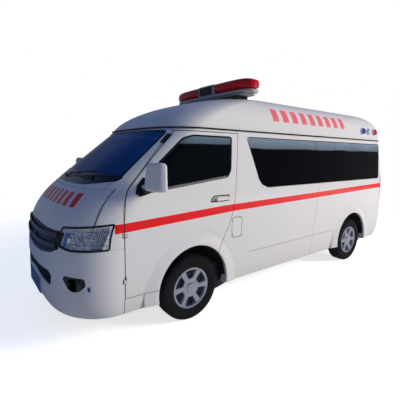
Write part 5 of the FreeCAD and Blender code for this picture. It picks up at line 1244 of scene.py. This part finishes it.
domes, lower, reflectors = [], [], []
for hand in (-1, 1):
    domes.append(shell(0.168, 0.747, hand, 2.424, 2.549, 0.138, 6.0))
    lower.append(shell(0.168, 0.742, hand, 2.376, 2.4235, 0.134, 9.0))
    for number, y in enumerate((0.29, 0.40, 0.51, 0.62)):
        reflectors.append(bowl((BAR_X - 0.030, hand * y, 2.462), (-1, hand * 0.2, 0.0), 0.034, 0.045))
piece("bar_domes", domes, red_lens, replaces=["light_bar_lenses"])
piece("bar_lower_lens", lower, ribbed_lens)
piece("bar_reflectors", reflectors, chrome)
feet = [slab((BAR_X - 0.100, y - 0.040, 2.316), (BAR_X + 0.085, y + 0.040, 2.366), 0.006)
        for y in (-0.5, 0.5)]
piece("bar_feet", feet, black_plastic)
tray = slab((BAR_X - 0.110, -0.640, 2.362), (BAR_X + 0.110, 0.640, 2.3755), 0.006)
centre = slab((BAR_X - 0.143, -0.1675, 2.372), (BAR_X + 0.143, 0.1675, 2.543), 0.020)
face = slab((BAR_X - 0.1455, -0.125, 2.418), (BAR_X - 0.1415, 0.125, 2.522), 0.002)
piece("bar_centre", [tray, centre], bar_grey, replaces=["light_bar"])
grille_lines = [slab((BAR_X - 0.1480, -0.118, z), (BAR_X - 0.1445, 0.118, z + 0.006), 0.001)
                for z in np.linspace(2.426, 2.508, 7)]
piece("bar_grille", [face] + grille_lines, black_plastic)

# %% Rims of the roof lamps
LAMP_RIM = [(0.0465, 0.0), (0.0465, 0.020), (0.042, 0.024), (0.042, 0.0)]
for number, x in enumerate((1.910, 2.110, 2.310)):
    for side, hand in SIDES:
        rim = loop(spun((x, hand * 0.832, 2.060), (0, hand, 0), LAMP_RIM, 36))
        piece(f"roof_lamp_rim_{number}_{side}", [rim], chrome)

# %% [markdown]
# ## The back of the van
# The tail has a wide grip over a blank number plate, a rear wiper, and lamps in three bands. The
# right side has the rail that the sliding door hangs on. All are plates on the body's formula.

# %% Tail and sliding door fittings
# Name, rectangle, corner, height off the skin, rounding, finish and body
for name, corners, corner, lift, edge, finish, body in (
        ("tailgate_grip", box(-0.330, 1.130, 0.330, 1.185), 0.020, 0.0065, 0.006, gloss_black, "tailgate"),
        ("blank_plate", box(-0.250, 0.955, 0.250, 1.075), 0.012, 0.0050, 0.0015, plate_white, "tailgate")):
    piece(name, [plate(traced(corners, corner), on_back, lift, -0.003, edge)], finish, body)
rear_glass = traced(mirrored([(-0.690, 1.2735), (-0.6765, 1.532), (-0.6356, 1.8288)]), 0.060, 200)
rear_seal = strip(rear_glass, on_back, [(-0.001, -0.008), (-0.001, 0.0012), (0.012, 0.0012), (0.016, -0.008)])
piece("rear_seal", [rear_seal], seal_rubber, "tailgate")
sweep = np.linspace(0, 1, 21)
arm = on_back(-0.02 + 0.34 * sweep, 1.262 + 0.085 * sweep, 0.008)
blade = on_back(0.05 + 0.52 * sweep, 1.322 + 0.045 * sweep, 0.004)
pivot, out = facing(on_back, -0.02, 1.258)
knob = dish(pivot, out, [(0.018, -0.003), (0.018, 0.009), (0.010, 0.012), (0.002, 0.012)], 24)
forms = [carried(arm, ROUND * (0.007, 0.005), (1, 0, 0)), carried(blade, ROUND * 0.005, (1, 0, 0)), knob]
piece("rear_wiper", forms, black_plastic, "tailgate")
reflectors = []
for hand in (-1, 1):
    spot = traced(box(hand * 0.560, 0.445, hand * 0.700, 0.485), 0.012)
    reflectors.append(plate(spot, on_back, 0.0040, -0.003, 0.002))
piece("bumper_reflectors", reflectors, red_lens)
for name, corners, corner, place, lift, edge, finish in (
        ("bumper_step", box(-0.560, 0.660, 0.560, 0.712), 0.015, on_back, 0.0035, 0.002, black_plastic),
        ("slide_rail", box(0.420, 1.232, 2.380, 1.262), 0.010, on_side(1), 0.0025, 0.001, black_plastic),
        ("slide_pull", box(-0.760, 1.085, -0.560, 1.130), 0.016, on_side(1), 0.0100, 0.008, chrome)):
    piece(name, [plate(traced(corners, corner), place, lift, -0.003, edge)], finish)

# %% [markdown]
# ## Padded pieces
# A cushion is fullest in its middle, its sides round over, and they pull in between the corners.
# Cloth simulation could swell it, but these lie behind dark glass, so each is a formula: rings of
# a rounded rectangle that shrink to the middle of the top while they rise.

# %% Pads
PINCH, SEAM_DEPTH = 0.006, 0.006


def pad(middle, axes, half, edge, crown, seams):
    """A crowned closed form. Height falls with the fourth power of the way out from the middle."""
    outline = traced(box(-half[0], -half[1], half[0], half[1]), edge * 1.4, 96)
    out = 1 - (outline[:, 0] / half[0]) ** 2 * (outline[:, 1] / half[1]) ** 2
    outline = moved(outline, (PINCH * out)[:, None])
    rim = half[2] - crown
    rings = []
    for share in (0.05, 0.3, 0.55, 0.75, 0.88):
        rings.append((outline * share, -rim - crown * (1 - share ** 4) * 0.2))
    for turn in np.linspace(-np.pi / 2, np.pi / 2, 13):
        rings.append((moved(outline, edge * (1 - math.cos(turn))), rim * math.sin(turn)))
    for share in (0.88, 0.8, 0.7, 0.6, 0.5, 0.4, 0.3, 0.2, 0.1, 0.05):
        rings.append((moved(outline, edge) * share, rim + crown * (1 - share ** 4)))
    places = []
    for ring, height in rings:
        sunk = sum(bump_between(ring[:, 0], seam - 0.006, seam + 0.006, 0.004) for seam in seams)
        tall = height - np.sign(height) * SEAM_DEPTH * sunk * (abs(height) > rim * 0.9)
        local = np.column_stack([ring, np.broadcast_to(tall, len(ring))])
        places.append(np.asarray(middle) + local @ np.asarray(axes, dtype=float))
    return stack(places)


FLAT = ((1, 0, 0), (0, 1, 0), (0, 0, 1))
lean = math.atan2(0.070, 0.600)
BACK = ((math.sin(lean), 0, math.cos(lean)), (0, 1, 0), (-math.cos(lean), 0, math.sin(lean)))
for side, hand in SIDES:
    y = hand * 0.440
    inner, middle, outer = (hand * value for value in (0.220, 0.496, 0.660))
    base = [slab((-1.400, min(inner, middle), 0.621), (-0.985, max(inner, middle), 0.935), 0.008),
            slab((-1.400, min(middle, outer), 0.797), (-0.985, max(middle, outer), 0.935), 0.008)]
    piece(f"seat_base_{side}", base, black_plastic, slot="trim_grey")
    # Name, middle, axes, half size, side rounding, crown, seams and how full it is
    for name, middle, axes, half, edge, crown, seams, fill in (
            ("seat_cushion", (-1.190, y, 0.982), FLAT, (0.238, 0.248, 0.062), 0.030, 0.022, (-0.09, 0.03),
             0.8),
            ("seat_back", (-0.920, y, 1.290), BACK, (0.296, 0.246, 0.062), 0.030, 0.020, (-0.10, 0.10), 0.8),
            ("headrest", (-0.890, y, 1.690), BACK, (0.078, 0.125, 0.045), 0.026, 0.014, (), 0.85)):
        form = pad(middle, axes, half, edge, crown, seams)
        piece(f"{name}_{side}", [form], seat_cloth, replaces=["cab_seats"])
    stems = []
    for offset in (-0.05, 0.05):
        x, z = np.linspace(-0.905, -0.890, 5), np.linspace(1.555, 1.640, 5)
        line = np.stack([x, np.full(5, y + offset), z], axis=1)
        stems.append(carried(line, ROUND * 0.006, (0, 1, 0)))
    piece(f"headrest_stems_{side}", stems, chrome)

form = pad((0.985, 0, 1.085), FLAT, (0.964, 0.259, 0.0395), 0.024, 0.010, (-0.45, 0.30))
piece("stretcher_mattress", [form], mattress_vinyl, replaces=["mattress"])
form = slab((-0.238, 0.412, 0.6205), (1.058, 0.824, 0.972), 0.008)
piece("bench_box", [form], cabinet_white, replaces=["bench"])
form = pad((0.410, 0.618, 1.011), FLAT, (0.649, 0.209, 0.0385), 0.022, 0.010, (-0.22, 0.22))
piece("bench_cushion", [form], bench_vinyl, replaces=["bench"])

# %% [markdown]
# ## Floor, light and camera
# A plain white floor that keeps the shadow, a cool sky all round and one large warm lamp behind
# the van on its left. The nose then lies in soft blue shade.

# %% Stage
FLOOR, FADE_FROM, FADE_OVER = 60, 3.5, 3.0


def stage_finish():
    """A pale floor that camera rays see as white, except for the shadow on it."""
    wire = Finish("studio_floor")
    seen = wire.node("ShaderNodeLightPath", {}, {}, "Is Camera Ray")
    grey = wire.node("ShaderNodeBsdfDiffuse", {}, {"Color": ink(0.93, 0.93, 0.93)})
    glow = wire.node("ShaderNodeEmission", {}, {"Strength": 0.72})
    both = wire.node("ShaderNodeAddShader", {}, {0: grey, 1: glow})
    white = wire.node("ShaderNodeEmission", {}, {"Strength": 1.0})
    away = wire.node("ShaderNodeVectorMath", {"operation": "LENGTH"}, {0: wire.place}, "Value")
    fade = ((away - FADE_FROM) / FADE_OVER).clamped()
    near = wire.node("ShaderNodeMixShader", {}, {0: fade, 1: both, 2: white})
    shown = wire.node("ShaderNodeMixShader", {}, {0: seen, 1: grey, 2: near})
    return wire.ended(shown)


floor_mesh = bpy.data.meshes.new("studio_floor")
floor_mesh.from_pydata([(x, y, 0) for x, y in box(-FLOOR, -FLOOR, FLOOR, FLOOR)], [], [(0, 1, 2, 3)])
floor_mesh.materials.append(stage_finish())
studio_floor = bpy.data.objects.new("studio_floor", floor_mesh)
scene.collection.objects.link(studio_floor)

world = bpy.data.worlds.new("studio")
scene.world = world
world.use_nodes = True
world.node_tree.nodes.clear()
sky = Wire(world.node_tree)
ray = sky.node("ShaderNodeNewGeometry", {}, {}, "Position")
behind = ray.node("ShaderNodeSeparateXYZ", {}, {0: ray}, "X")
above = ray.node("ShaderNodeSeparateXYZ", {}, {0: ray}, "Z")
level_blue = (behind * 0.5 + 0.5).clamped().over(ink(0.74, 0.79, 0.86), ink(0.86, 0.89, 0.92))
deep_blue = (above * 1.4).clamped().over(level_blue, ink(0.42, 0.58, 0.90))
seen = sky.node("ShaderNodeLightPath", {}, {}, "Is Camera Ray")
passed_too = sky.node("ShaderNodeLightPath", {}, {}, "Is Transmission Ray")
soft = sky.node("ShaderNodeBackground", {}, {"Color": deep_blue, "Strength": 0.36})
plain = sky.node("ShaderNodeBackground", {}, {"Color": (1, 1, 1, 1), "Strength": 1.0})
shown = sky.node("ShaderNodeMixShader", {}, {0: (seen + passed_too).clamped(), 1: soft, 2: plain})
end = world.node_tree.nodes.new("ShaderNodeOutputWorld")
world.node_tree.links.new(shown.socket, end.inputs["Surface"])

light = bpy.data.lights.new("key", "AREA")
light.size, light.energy, light.color = 7.0, 4650.0, (1.0, 0.94, 0.865)
key = bpy.data.objects.new("key", light)
key_place, aim = Vector((15.0, -14.6, 8.4)), Vector((0.0, 0.0, 1.0))
key.location = key_place
key.rotation_euler = (aim - key_place).to_track_quat("-Z", "Y").to_euler()
# Its square would show on the roof and the light bar, so reflections leave it out
key.visible_glossy = False
scene.collection.objects.link(key)

# %% Camera
YAW, PITCH, ROLL = math.radians(37.24), math.radians(-7.50), math.radians(0.80)
camera = bpy.data.cameras.new("camera")
camera.lens, camera.sensor_width = 28.0, 36.0
camera.shift_x, camera.shift_y = 0.0072, -0.0162
camera_object = bpy.data.objects.new("camera", camera)
turned = Matrix.Rotation(-YAW, 4, "Z") @ Matrix.Rotation(math.pi / 2 + PITCH, 4, "X")
turned = turned @ Matrix.Rotation(ROLL, 4, "Z")
camera_object.matrix_world = Matrix.Translation((-3.255, -3.280, 1.683)) @ turned
scene.collection.objects.link(camera_object)
scene.camera = camera_object
scene.view_settings.view_transform = "Standard"
